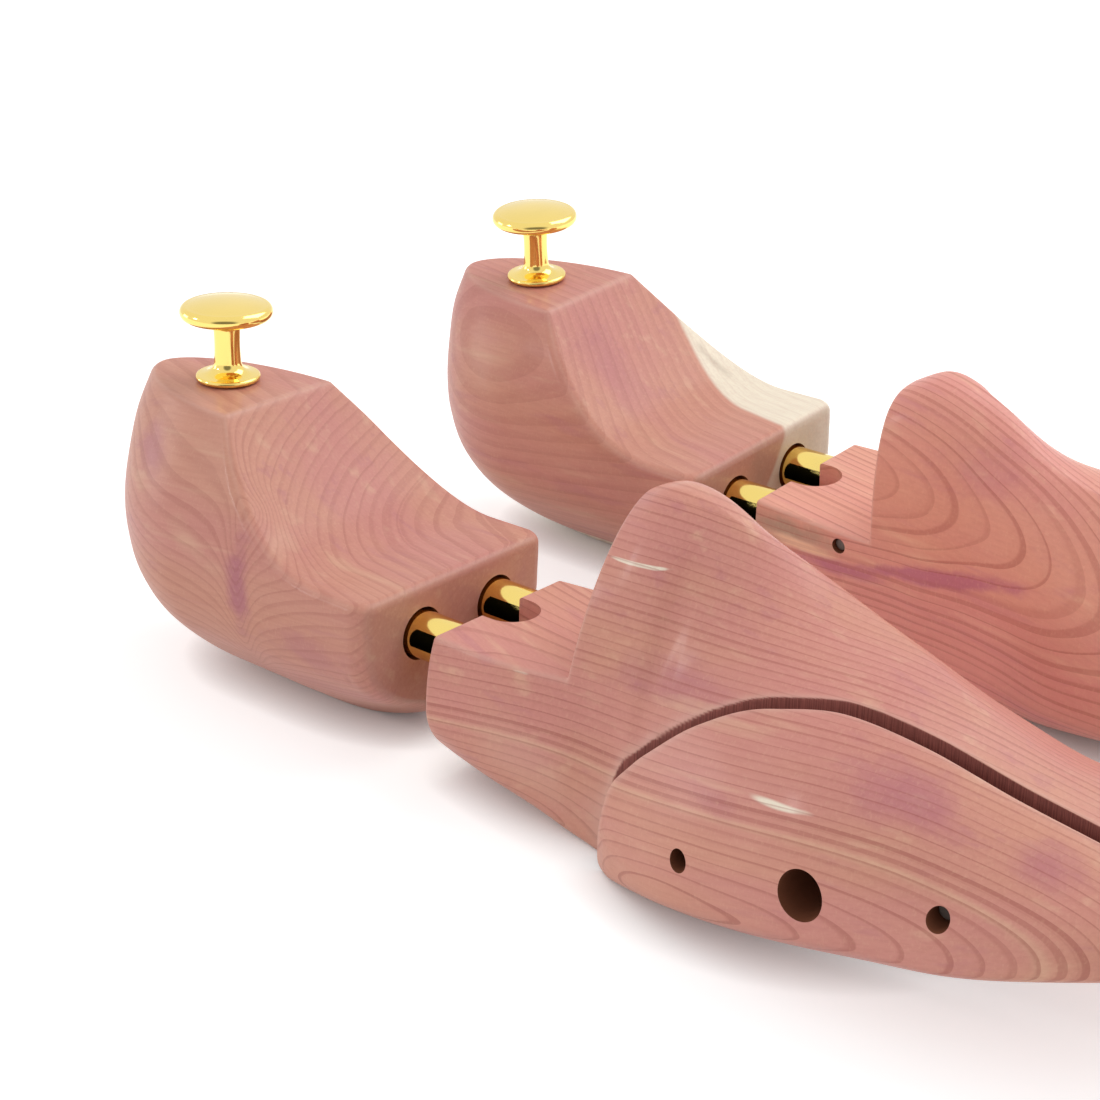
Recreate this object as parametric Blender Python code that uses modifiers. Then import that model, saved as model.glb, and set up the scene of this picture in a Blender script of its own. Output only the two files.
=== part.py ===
"""A pair of cedar shoe trees: heel blocks on sprung twin tubes, and forefeet with a sprung side piece.

Units are metres. +X runs to the toes, +Y to the left foot's tree, +Z up, and the pair stands on z = 0.
Each tree is drawn in its own axes: the origin is midway between its two tubes at the heel block's
front face, x to the toe, y to the inner (medial) side of the foot, z up. A hand of +1 makes the right
tree and -1 mirrors it to the left one.
"""
import math

import bpy
import numpy as np
from mathutils import Matrix, Vector

MM = 0.001

# How the pair stands
PAIR_SPACING = 97.0 * MM          # between the long axes of the two trees
PAIR_STAGGER = 6.8 * MM           # the left tree stands this much further forward
LEAN = math.radians(2.3)          # each tree leans this much towards the other one
AXIS_HEIGHT = 26.0 * MM           # the tubes' axes above the table

# Clearances
SEAT_GAP = 0.3 * MM               # between pieces that are fixed to each other
SLIDE_GAP = 0.65 * MM             # around each tube in the heel block's bore
RUN_GAP = 0.35 * MM               # around pins and rods that slide in a guide

# Heel block
HEEL_LENGTH = 91.6 * MM
HEEL_WIDTH = 55.2 * MM
HEEL_TOP = 35.2 * MM              # top face above the tubes' axes
HEEL_TOP_FRONT = 51.3 * MM        # front edge of the top face, behind the front face
HEEL_SIDE_FLARE = 0.04            # how much wider the sides are at the front face
HEEL_SOLE_RISE = 8.0 * MM         # how much the sole curls up to the front face
HEEL_SOLE_CURL = 29.0 * MM        # length of that curl
SCOOP_FRONT = 10.7 * MM           # top of the front face above the tubes' axes
SCOOP_FLAT = 14.0 * MM            # nearly level stretch behind the front face
FRONT_EDGE = 1.2 * MM             # chamfer along the top of the front face

# Knob
KNOB_BACK = 67.5 * MM             # knob's axis behind the front face
KNOB_RADIUS = 10.0 * MM
KNOB_HEIGHT = 17.6 * MM
KNOB_HEAD = 5.2 * MM              # thickness of its head
KNOB_STEM_RADIUS = 2.9 * MM
KNOB_FLANGE_RADIUS = 7.0 * MM
KNOB_FLANGE = 1.3 * MM
STUD_RADIUS = 2.0 * MM
STUD_IN_KNOB = 9.0 * MM
STUD_IN_WOOD = 22.0 * MM

# Tubes and their springs
TUBE_SPACING = 22.4 * MM
TUBE_RADIUS = 5.0 * MM
TUBE_WALL = 0.6 * MM
TUBE_IN_HEEL = 30.0 * MM
TUBE_IN_NECK = 45.0 * MM
HEEL_BORE_DEPTH = 62.0 * MM
BUSH_LENGTH = 8.0 * MM
ROD_RADIUS = 2.0 * MM
ROD_IN_WOOD = 9.0 * MM
COLLAR_RADIUS = 3.7 * MM
COLLAR_LENGTH = 6.0 * MM
SPRING_RADIUS = 3.8 * MM          # middle of the wire
SPRING_WIRE = 0.55 * MM           # radius of the wire
SPRING_TURNS = 7

# Forefoot
HEEL_TO_NECK = 11.0 * MM          # gap between the heel block and the neck
NECK_LENGTH = 32.0 * MM
NECK_TOP = 5.8 * MM               # flat top of the neck above the tubes' axes
NOTCH_RADIUS = 6.0 * MM
NOTCH_DEPTH = 9.0 * MM
TOE_END = 186.0 * MM
FOREFOOT_WIDTH = 72.0 * MM
INSTEP_HEIGHT = 41.0 * MM         # top of the instep above the tubes' axes
TOE_CURL = 0.62                   # share of the forefoot's length where the outline starts to close
TOE_CURL_POWER = 2.4

# Side piece
SPLIT_START = (57.0 * MM, -20.0 * MM)
SPLIT_ANGLE = math.radians(6.0)   # the cut runs towards the inner side of the toe
SPLIT_GAP = 4.0 * MM              # between the two faces while the side piece is sprung out
SAW_CUT = 0.8 * MM                # wood that the cut took away
SCREW_PLACE = (110.0 * MM, -5.0 * MM)      # along x, and up
PIN_PLACES = ((82.2 * MM, -10.5 * MM), (135.7 * MM, -0.4 * MM))
SCREW_HOLE_RADIUS = 4.6 * MM
SCREW_HEAD_RADIUS = 4.1 * MM
SCREW_HEAD = 3.2 * MM
SCREW_RADIUS = 2.0 * MM
SCREW_IN_BODY = 20.0 * MM
SHOULDER = 5.0 * MM               # wood left under the screw's washer
WASHER = 1.0 * MM
SIDE_SPRING_RADIUS = 3.2 * MM
SIDE_SPRING_WIRE = 0.45 * MM
SIDE_SPRING_TURNS = 5
SIDE_SPRING_SEAT = 8.0 * MM       # depth of its pocket in the forefoot
PIN_RADIUS = 1.75 * MM
PIN_IN_BODY = 12.0 * MM
PIN_RECESS = 4.0 * MM             # how far a pin's end lies below the side piece's surface

# Cross pin that holds the tubes in the neck
CROSS_PIN_X = 35.0 * MM
CROSS_PIN_Z = 2.5 * MM            # above the tubes' axes
CROSS_PIN_RADIUS = 1.4 * MM
CROSS_PIN_END = 15.5 * MM         # past the middle, on the outer side
CROSS_PIN_RECESS = 1.0 * MM

# Facets
RING_POINTS = 28
TOE_STATIONS = 26
ROUND = 24
SMALL_ROUND = 14

# Levels of the heel block, as shares: height of the axes' height below them and of the top above them,
# outer and inner half widths of its width, and where its rounded back ends and starts of its length
LEVELS = {
    "height": (-1.04, -0.88, -0.69, -0.46, -0.19, 0.085, 0.31, 0.54, 0.77, 1.0),
    "outer": (0.091, 0.199, 0.326, 0.426, 0.485, 0.5, 0.5, 0.453, 0.380, 0.294),
    "inner": (0.072, 0.172, 0.290, 0.395, 0.464, 0.478, 0.475, 0.431, 0.366, 0.272),
    "back": (0.66, 0.726, 0.799, 0.879, 0.950, 0.991, 1.0, 1.0, 0.993, 0.963),
    "turn": (0.453, 0.502, 0.553, 0.6, 0.611, 0.611, 0.604, 0.598, 0.585, 0.557),
}

# Stations of the forefoot, as shares: place of the length from the step wall to the toe (the neck lies
# behind it), outer and inner half widths of the width, top of the instep's height, widest level of the
# inner side, widest level of the outer side and bottom of the axes' height, ridge and inward swing of
# the width, and how full each quarter is
STATIONS = {
    "place": (-0.224, -0.126, 0.0, 0.049, 0.098, 0.122, 0.161, 0.245, 0.343, 0.448, 0.552, 0.678, 0.818, 1.0),
    "outer": (0.311, 0.313, 0.29, 0.277, 0.293, 0.328, 0.37, 0.435, 0.468, 0.492, 0.492, 0.497, 0.5, 0.493),
    "inner": (0.27, 0.288, 0.304, 0.314, 0.329, 0.335, 0.347, 0.382, 0.438, 0.465, 0.486, 0.486, 0.507, 0.514),
    "top": (0.488, 0.634, 0.924, 1.0, 0.985, 0.959, 0.9, 0.744, 0.634, 0.585, 0.5, 0.378, 0.312, 0.261),
    "level": (-0.31, -0.33, -0.42, -0.55, -0.65, -0.663, -0.65, -0.55, -0.46, -0.45, -0.42, -0.32, -0.15, -0.02),
    "low": (-0.345, -0.443, -0.54, -0.688, -0.779, -0.747, -0.732, -0.701, -0.618, -0.51, -0.409, -0.32, -0.15, -0.02),
    "bottom": (-0.935, -0.96, -1.096, -1.115, -1.115, -1.104, -1.077, -1.0, -0.946, -0.858, -0.754, -0.569, -0.419,
               -0.296),
    "ridge": (0.042, 0.075, 0.088, 0.056, 0.068, 0.073, 0.083, 0.139, 0.139, 0.063, -0.014, -0.062, -0.042, 0.0),
    "swing": (0, 0, 0, 0, 0, 0, 0, 0, 0, 0, 0, 0.014, 0.056, 0.125),
    "full_outer": (2.277, 2.253, 1.653, 1.603, 1.547, 1.32, 1.273, 1.556, 2.062, 2.339, 2.238, 1.9, 1.9, 2.0),
    "full_inner": (2.8, 3.1, 3.3, 3.0, 2.6, 2.4, 2.1, 1.75, 1.4, 1.37, 1.4, 1.4, 1.75, 2.2),
    "full_sole": (2.0, 2.65, 3.5, 4.5, 5.6, 5.2, 4.0, 2.85, 2.5, 2.2, 2.05, 1.95, 1.9, 1.9),
}

WOOD = ("cedar", (0.60, 0.28, 0.22), 0.48, 0.0)
BRASS = ("polished_brass", (0.95, 0.66, 0.18), 0.12, 1.0)
STEEL = ("zinc_steel", (0.62, 0.62, 0.60), 0.32, 1.0)
BUSHING = ("nylon", (0.85, 0.84, 0.80), 0.5, 0.0)

# Lengths that follow from the sizes above
TUBE_INNER = TUBE_RADIUS - TUBE_WALL
BORE_RADIUS = TUBE_RADIUS + SLIDE_GAP
NECK_END = HEEL_TO_NECK + NECK_LENGTH
BUSH_FRONT = -TUBE_IN_HEEL + BUSH_LENGTH
COLLAR_BACK = BUSH_FRONT + SEAT_GAP
ROD_END = COLLAR_BACK + COLLAR_LENGTH
SIDE_OPEN = SPLIT_GAP - SAW_CUT   # how far the spring holds the side piece out
BIG = 300.0 * MM


def clear_scene():
    """Remove what the scene already holds."""
    for obj in list(bpy.data.objects):
        bpy.data.objects.remove(obj, do_unlink=True)


def new_collection(name):
    collection = bpy.data.collections.new(name)
    bpy.context.scene.collection.children.link(collection)
    return collection


def material(spec):
    """A Principled material from a name, colour, roughness and metallic value."""
    name, colour, roughness, metallic = spec
    mat = bpy.data.materials.get(name)
    if mat is None:
        mat = bpy.data.materials.new(name)
        mat.use_nodes = True
        shader = mat.node_tree.nodes["Principled BSDF"]
        shader.inputs["Base Color"].default_value = (*colour, 1.0)
        shader.inputs["Roughness"].default_value = roughness
        shader.inputs["Metallic"].default_value = metallic
        mat.diffuse_color = (*colour, 1.0)
    return mat


def add_object(name, data, collection, parent, spec=None):
    """Link an object into a collection under its parent empty."""
    obj = bpy.data.objects.new(name, data)
    collection.objects.link(obj)
    obj.parent = parent
    if spec is not None:
        data.materials.append(material(spec))
    return obj


def smooth(obj, angle=40.0):
    """Shade a round piece smooth, with its edges sharp."""
    obj.data.shade_smooth()
    obj.data.set_sharp_from_angle(angle=math.radians(angle))


def hide_cutter(obj):
    obj.hide_render = True
    obj.display_type = "WIRE"


def apply_boolean(obj, cutter, operation="DIFFERENCE"):
    """Add an exact Boolean modifier and keep it live."""
    modifier = obj.modifiers.new(cutter.name, "BOOLEAN")
    modifier.operation = operation
    modifier.solver = "EXACT"
    modifier.object = cutter


def mesh_from(name, points, faces):
    mesh = bpy.data.meshes.new(name)
    mesh.from_pydata([tuple(p) for p in points], [], faces)
    mesh.validate()
    mesh.update()
    return mesh


def skin(name, rings, strip_cap=False):
    """Closed mesh through a list of rings with equal counts, capped at both ends.

    With strip_cap the first ring, which then isn't flat, is closed by strips between opposite points.
    """
    count = len(rings[0])
    points = [p for ring in rings for p in ring]
    faces = []
    for row in range(len(rings) - 1):
        for i in range(count):
            j = (i + 1) % count
            a, b = row * count, (row + 1) * count
            faces.append((a + i, a + j, b + j, b + i))
    if strip_cap:
        half = count // 2
        faces += [(i + 1, i, count - 1 - i, count - 2 - i) for i in range(half - 1)]
        faces.append((half, half - 1, half + 1))
    else:
        faces.append(tuple(range(count - 1, -1, -1)))
    last = (len(rings) - 1) * count
    faces.append(tuple(range(last, last + count)))
    return mesh_from(name, points, faces)


def mirrored(rings, hand):
    """Rings in the tree's axes: y is turned over for the left tree, and the order keeps faces outward."""
    rings = [np.asarray(ring) for ring in rings]
    if hand < 0:
        rings = [(ring * (1, -1, 1))[::-1] for ring in rings]
    return rings


def turned(name, profile, steps, collection, parent, place, direction, spec=None, closed=False):
    """A turned piece: a profile of (radius, height) pairs, top to bottom down its outer side.

    Height runs along direction from place. A closed profile is a ring with a bore.
    """
    mesh = bpy.data.meshes.new(name)
    edges = [(i, i + 1) for i in range(len(profile) - 1)]
    if closed:
        edges.append((len(profile) - 1, 0))
    mesh.from_pydata([(r, 0.0, h) for r, h in profile], edges, [])
    obj = add_object(name, mesh, collection, parent, spec)
    screw = obj.modifiers.new("turn", "SCREW")
    screw.axis = "Z"
    screw.steps = screw.render_steps = int(steps)
    screw.use_merge_vertices = True
    screw.merge_threshold = 0.00001
    screw.use_smooth_shade = True
    turn = Vector((0, 0, 1)).rotation_difference(Vector(direction).normalized())
    obj.rotation_mode = "QUATERNION"
    obj.rotation_quaternion = turn
    obj.location = place
    return obj


def rod_profile(radius, low, high):
    """Profile of a plain round bar between two heights."""
    return [(0.0, high), (radius, high), (radius, low), (0.0, low)]


def ring_profile(inner, outer, low, high):
    """Profile of a plain ring between two heights."""
    return [(inner, high), (outer, high), (outer, low), (inner, low)]


def stepped_profile(steps):
    """Profile of a stepped hole, from pairs of radius and depth; it starts above the surface."""
    profile = [(0.0, steps[0][1])]
    for (radius, high), (_, low) in zip(steps[:-1], steps[1:]):
        profile.append((radius, high))
        profile.append((radius, low))
    profile.append((0.0, steps[-1][1]))
    return profile


def box(name, low, high, collection, parent, rotation=0.0, pivot=(0, 0, 0)):
    """A cutter box between two corners, turned about the vertical through a pivot."""
    low, high = Vector(low), Vector(high)
    bpy.ops.mesh.primitive_cube_add(size=1.0)
    obj = bpy.context.active_object
    for holder in list(obj.users_collection):
        holder.objects.unlink(obj)
    collection.objects.link(obj)
    obj.name = name
    obj.data.transform(Matrix.Translation((low + high) / 2) @ Matrix.Diagonal((*(high - low), 1.0)))
    obj.location = pivot
    obj.rotation_euler.z = rotation
    obj.parent = parent
    hide_cutter(obj)
    return obj


def prism(name, outline, half_width, collection, parent):
    """A cutter whose side outline, as (x, z) pairs, runs across the tree."""
    near = [(x, -half_width, z) for x, z in outline]
    far = [(x, half_width, z) for x, z in outline]
    obj = add_object(name, skin(name, [far, near]), collection, parent)
    hide_cutter(obj)
    return obj


def through(xs, ys, x):
    """Smooth curve through given points: cubic pieces with the slopes of their neighbours."""
    xs, ys, x = (np.asarray(v, float) for v in (xs, ys, x))
    slopes = np.gradient(ys, xs)
    i = np.clip(np.searchsorted(xs, x) - 1, 0, len(xs) - 2)
    h = xs[i + 1] - xs[i]
    t = (x - xs[i]) / h
    return ((1 + 2 * t) * (1 - t) ** 2 * ys[i] + t * (1 - t) ** 2 * h * slopes[i]
            + t * t * (3 - 2 * t) * ys[i + 1] + t * t * (t - 1) * h * slopes[i + 1])


def power(value, exponent):
    return np.sign(value) * np.abs(value) ** exponent


def heel_outline(value, count_side, count_back):
    """One level of the heel block: up the inner side, round the back and down the outer side."""
    sides = []
    for side, half in ((1, value["inner"]), (-1, value["outer"])):
        xs = np.linspace(4 * MM, -value["turn"], count_side, endpoint=False)
        flare = 1 + HEEL_SIDE_FLARE * (xs + value["turn"]) / value["turn"]
        run = [(x, side * half * f, value["height"]) for x, f in zip(xs, flare)]
        depth = value["back"] - value["turn"]
        for angle in np.linspace(0, math.pi / 2, count_back // 2 + 1):
            x = -value["turn"] - depth * power(math.sin(angle), 1.06)
            run.append((x, side * half * power(math.cos(angle), 1.06), value["height"]))
        sides.append(run)
    return sides[0] + sides[1][-2::-1]


def heel_levels(heights):
    """Sizes of the heel block at the given heights, as a list of one dict per level."""
    shares = np.array(LEVELS["height"])
    known = np.where(shares < 0, shares * AXIS_HEIGHT, shares * HEEL_TOP)
    size = {"outer": HEEL_WIDTH, "inner": HEEL_WIDTH, "back": HEEL_LENGTH, "turn": HEEL_LENGTH}
    columns = {key: through(known, np.array(LEVELS[key]) * scale, heights) for key, scale in size.items()}
    columns["height"] = heights
    return [{key: column[i] for key, column in columns.items()} for i in range(len(heights))]


def lift_heel_sole(ring):
    """Curl the sole up towards the front face; the upper half of the block stays as it is."""
    lifted = []
    for x, y, z in ring:
        along = max(0.0, 1 + x / HEEL_SOLE_CURL)
        low = min(1.0, max(0.0, -z / AXIS_HEIGHT))
        lifted.append((x, y, z + HEEL_SOLE_RISE * along ** 2 * low ** 1.5))
    return lifted


def scoop_outline():
    """Side outline of the heel block: sole, front face, scooped upper side and top face."""
    start = np.array((-HEEL_TOP_FRONT, HEEL_TOP))
    end = np.array((-SCOOP_FLAT, SCOOP_FRONT))
    pull_1 = np.array((-0.80 * HEEL_TOP_FRONT, 0.50 * (HEEL_TOP + SCOOP_FRONT)))
    pull_2 = np.array((-0.56 * HEEL_TOP_FRONT, SCOOP_FRONT))
    t = np.linspace(0, 1, 11)[:, None]
    curve = ((1 - t) ** 3 * start + 3 * t * (1 - t) ** 2 * pull_1
             + 3 * t * t * (1 - t) * pull_2 + t ** 3 * end)
    outline = [(0.0, -BIG), (0.0, SCOOP_FRONT - FRONT_EDGE), (-FRONT_EDGE, SCOOP_FRONT)]
    outline += [tuple(p) for p in curve[::-1]]
    outline += [(-BIG, HEEL_TOP), (-BIG, -BIG)]
    return outline


def heel_block(tree, hand, parts, cutters, empty, ground):
    """Wooden heel block with its two bores and the hole for the knob's stud."""
    low = -AXIS_HEIGHT * np.array((1.04, 0.97, 0.87, 0.74, 0.58, 0.4, 0.2))
    high = HEEL_TOP * np.array((0.0, 0.22, 0.42, 0.6, 0.76, 0.9, 1.05))
    rings = [lift_heel_sole(heel_outline(level, 5, 16)) for level in heel_levels(np.r_[low, high])]
    mesh = skin(tree + "_heel_block", mirrored(rings, hand), strip_cap=True)
    block = add_object(tree + "_heel_block", mesh, parts, empty, WOOD)
    smooth(block)
    apply_boolean(block, ground)
    apply_boolean(block, prism(tree + "_heel_outline", scoop_outline(), 60 * MM, cutters, empty), "INTERSECT")
    for side in (-1, 1):
        profile = stepped_profile([(BORE_RADIUS, 5 * MM), (ROD_RADIUS + SEAT_GAP, -HEEL_BORE_DEPTH),
                                   (0.0, -HEEL_BORE_DEPTH - ROD_IN_WOOD - SEAT_GAP)])
        bore = turned(f"{tree}_heel_bore_{side}", profile, ROUND, cutters, empty,
                      (0, side * TUBE_SPACING / 2, 0), (1, 0, 0))
        hide_cutter(bore)
        apply_boolean(block, bore)
    profile = stepped_profile([(STUD_RADIUS + SEAT_GAP, 5 * MM), (0.0, -STUD_IN_WOOD - SEAT_GAP)])
    hole = turned(tree + "_stud_hole", profile, SMALL_ROUND, cutters, empty, (-KNOB_BACK, 0, HEEL_TOP), (0, 0, 1))
    hide_cutter(hole)
    apply_boolean(block, hole)


def knob_profile():
    """Mushroom knob: domed head with a round rim, waisted stem and a flange, bored for its stud."""
    top, rim = KNOB_HEIGHT, KNOB_HEAD / 2
    profile = [(0.0, top), (0.45 * KNOB_RADIUS, top - 0.10 * KNOB_HEAD), (0.80 * KNOB_RADIUS, top - 0.22 * KNOB_HEAD)]
    for angle in np.radians((50, 15, -20, -55)):
        profile.append((KNOB_RADIUS - 0.62 * rim * (1 - math.cos(angle)), top - 1.05 * rim + 0.62 * rim * math.sin(angle)))
    profile.append((1.6 * KNOB_STEM_RADIUS, top - KNOB_HEAD))
    neck_top, neck_low = top - KNOB_HEAD - 1.2 * MM, KNOB_FLANGE + 3.4 * MM
    profile += [(KNOB_STEM_RADIUS, neck_top), (KNOB_STEM_RADIUS, neck_low)]
    for angle in np.radians((30, 60, 90)):
        profile.append((KNOB_STEM_RADIUS + 3.0 * MM * (1 - math.cos(angle)), neck_low - 3.0 * MM * math.sin(angle)))
    profile += [(KNOB_FLANGE_RADIUS, KNOB_FLANGE), (KNOB_FLANGE_RADIUS, 0.0)]
    bore = STUD_RADIUS + SEAT_GAP
    profile += [(bore, 0.0), (bore, STUD_IN_KNOB + SEAT_GAP), (0.0, STUD_IN_KNOB + SEAT_GAP)]
    return profile


def knob(tree, parts, empty):
    """Turned brass knob on the heel block's top face, with the stud that screws into the wood."""
    seat = (-KNOB_BACK, 0, HEEL_TOP + SEAT_GAP)
    turned(tree + "_knob", knob_profile(), ROUND, parts, empty, seat, (0, 0, 1), BRASS)
    turned(tree + "_knob_stud", rod_profile(STUD_RADIUS, -STUD_IN_WOOD, STUD_IN_KNOB), SMALL_ROUND, parts, empty,
           (-KNOB_BACK, 0, HEEL_TOP), (0, 0, 1), STEEL)


def tube_set(tree, side_name, y, parts, cutters, heel_empty, fore_empty, pin_cutter):
    """One brass tube with its end bush, and the heel block's rod, stop collar and spring around it."""
    front = HEEL_TO_NECK + TUBE_IN_NECK
    tube = turned(f"{tree}_{side_name}_tube", ring_profile(TUBE_INNER, TUBE_RADIUS, -TUBE_IN_HEEL, front), ROUND,
                  parts, fore_empty, (0, y, 0), (1, 0, 0), BRASS, closed=True)
    apply_boolean(tube, pin_cutter)
    turned(f"{tree}_{side_name}_tube_bush", ring_profile(ROD_RADIUS + RUN_GAP, TUBE_INNER - SEAT_GAP,
                                                         -TUBE_IN_HEEL, BUSH_FRONT), SMALL_ROUND,
           parts, fore_empty, (0, y, 0), (1, 0, 0), BUSHING, closed=True)
    turned(f"{tree}_{side_name}_guide_rod", rod_profile(ROD_RADIUS, -HEEL_BORE_DEPTH - ROD_IN_WOOD, ROD_END),
           SMALL_ROUND, parts, heel_empty, (0, y, 0), (1, 0, 0), STEEL)
    turned(f"{tree}_{side_name}_stop_collar", ring_profile(ROD_RADIUS + SEAT_GAP, COLLAR_RADIUS, COLLAR_BACK, ROD_END),
           SMALL_ROUND, parts, heel_empty, (0, y, 0), (1, 0, 0), STEEL, closed=True)
    coil(f"{tree}_{side_name}_heel_spring", SPRING_RADIUS, SPRING_WIRE, SPRING_TURNS, -HEEL_BORE_DEPTH,
         -TUBE_IN_HEEL, parts, heel_empty, (0, y, 0), (1, 0, 0), 0)


def coil(name, radius, wire, turns, low, high, parts, parent, place, direction, sides):
    """A helical spring as one wire between two heights along direction, clear of both seats."""
    steps = 8 * turns
    start, end = low + wire + SEAT_GAP, high - wire - SEAT_GAP
    curve = bpy.data.curves.new(name, "CURVE")
    curve.dimensions = "3D"
    spline = curve.splines.new("POLY")
    spline.points.add(steps)
    for i in range(steps + 1):
        angle = 2 * math.pi * turns * i / steps
        height = start + (end - start) * i / steps
        spline.points[i].co = (radius * math.cos(angle), radius * math.sin(angle), height, 1.0)
    curve.bevel_depth = wire
    curve.bevel_resolution = sides
    curve.use_fill_caps = True
    obj = add_object(name, curve, parts, parent, STEEL)
    obj.rotation_mode = "QUATERNION"
    obj.rotation_quaternion = Vector((0, 0, 1)).rotation_difference(Vector(direction).normalized())
    obj.location = place
    print(name, "least gap between turns", round(((end - start) / turns - 2 * wire) / MM, 2), "mm")


def forefoot_rings(hand):
    """Sections of the whole forefoot, before the neck is milled and the side piece is split off."""
    length = TOE_END - NECK_END
    known = {key: np.array(row, float) for key, row in STATIONS.items()}
    places = np.where(known["place"] < 0, NECK_END + known["place"] * NECK_LENGTH / 0.224,
                      NECK_END + known["place"] * length)
    size = {"outer": FOREFOOT_WIDTH, "inner": FOREFOOT_WIDTH, "ridge": FOREFOOT_WIDTH, "swing": FOREFOOT_WIDTH,
            "top": INSTEP_HEIGHT, "level": AXIS_HEIGHT, "low": AXIS_HEIGHT, "bottom": AXIS_HEIGHT}
    spread = np.sin(np.linspace(0, math.pi / 2, TOE_STATIONS)) ** 0.9
    x = HEEL_TO_NECK + (TOE_END - HEEL_TO_NECK) * spread
    value = {key: through(places, row * size.get(key, 1.0), x) for key, row in known.items() if key != "place"}
    start = NECK_END + TOE_CURL * length
    curl = np.clip((x - start) / (TOE_END - start), 0, 0.9995)
    close = (1 - curl ** TOE_CURL_POWER) ** (1 / TOE_CURL_POWER)
    angles = np.linspace(0, 2 * math.pi, RING_POINTS, endpoint=False) + math.pi / RING_POINTS
    c, s = np.cos(angles), np.sin(angles)
    rings = []
    for i in range(TOE_STATIONS):
        v = {key: row[i] for key, row in value.items()}
        ridge, outer, inner = v["ridge"] * close[i], v["outer"] * close[i], v["inner"] * close[i]
        upper, medial = s > 0, c > 0
        level = np.where(medial, v["level"], v["low"])
        top, sole = (v["top"] - level) * close[i], (level - v["bottom"]) * close[i]
        full = np.where(upper, np.where(medial, v["full_inner"], v["full_outer"]), v["full_sole"])
        cc, ss = power(c, 2 / full), power(s, 2 / full)
        middle = np.where(upper, ridge, 0.0)
        y = v["swing"] + middle + cc * np.where(medial, inner - middle, outer + middle)
        z = level + ss * np.where(upper, top, sole)
        rings.append(np.stack([np.full_like(y, x[i]), y, z], axis=1))
    return mirrored(rings, hand)


def split_axis(hand):
    """Direction that crosses the split, from the side piece to the forefoot."""
    return Vector((-math.sin(SPLIT_ANGLE), hand * math.cos(SPLIT_ANGLE), 0))


def split_point(x, z, hand):
    """A point of the split's forefoot face at a given x and height."""
    y = SPLIT_START[1] + (x - SPLIT_START[0]) * math.tan(SPLIT_ANGLE)
    return Vector((x, hand * y, z))


def split_box(name, hand, gap, outer_side, cutters, empty):
    """A cutter on one side of the split: outside its face, or inside a face that lies gap further out."""
    low = (-BIG, -BIG, -BIG) if outer_side else (-BIG, -gap, -BIG)
    high = (BIG, 0.0, BIG) if outer_side else (BIG, BIG, BIG)
    if hand < 0:
        low, high = (low[0], -high[1], low[2]), (high[0], -low[1], high[2])
    pivot = (SPLIT_START[0], hand * SPLIT_START[1], 0)
    return box(name, low, high, cutters, empty, hand * SPLIT_ANGLE, pivot)


def outer_surface(x, z, hand):
    """Outermost point of the forefoot at a given x and height, on the split side."""
    rings = forefoot_rings(hand)
    mid = [ring[:, 0].mean() for ring in rings]
    i = int(np.argmin(np.abs(np.array(mid) - x)))
    ring = rings[i]
    outer = ring[ring[:, 1] * hand < 0]
    return float(np.interp(z, *zip(*sorted((p[2], p[1]) for p in outer if abs(p[1]) > 15 * MM))))


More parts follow.
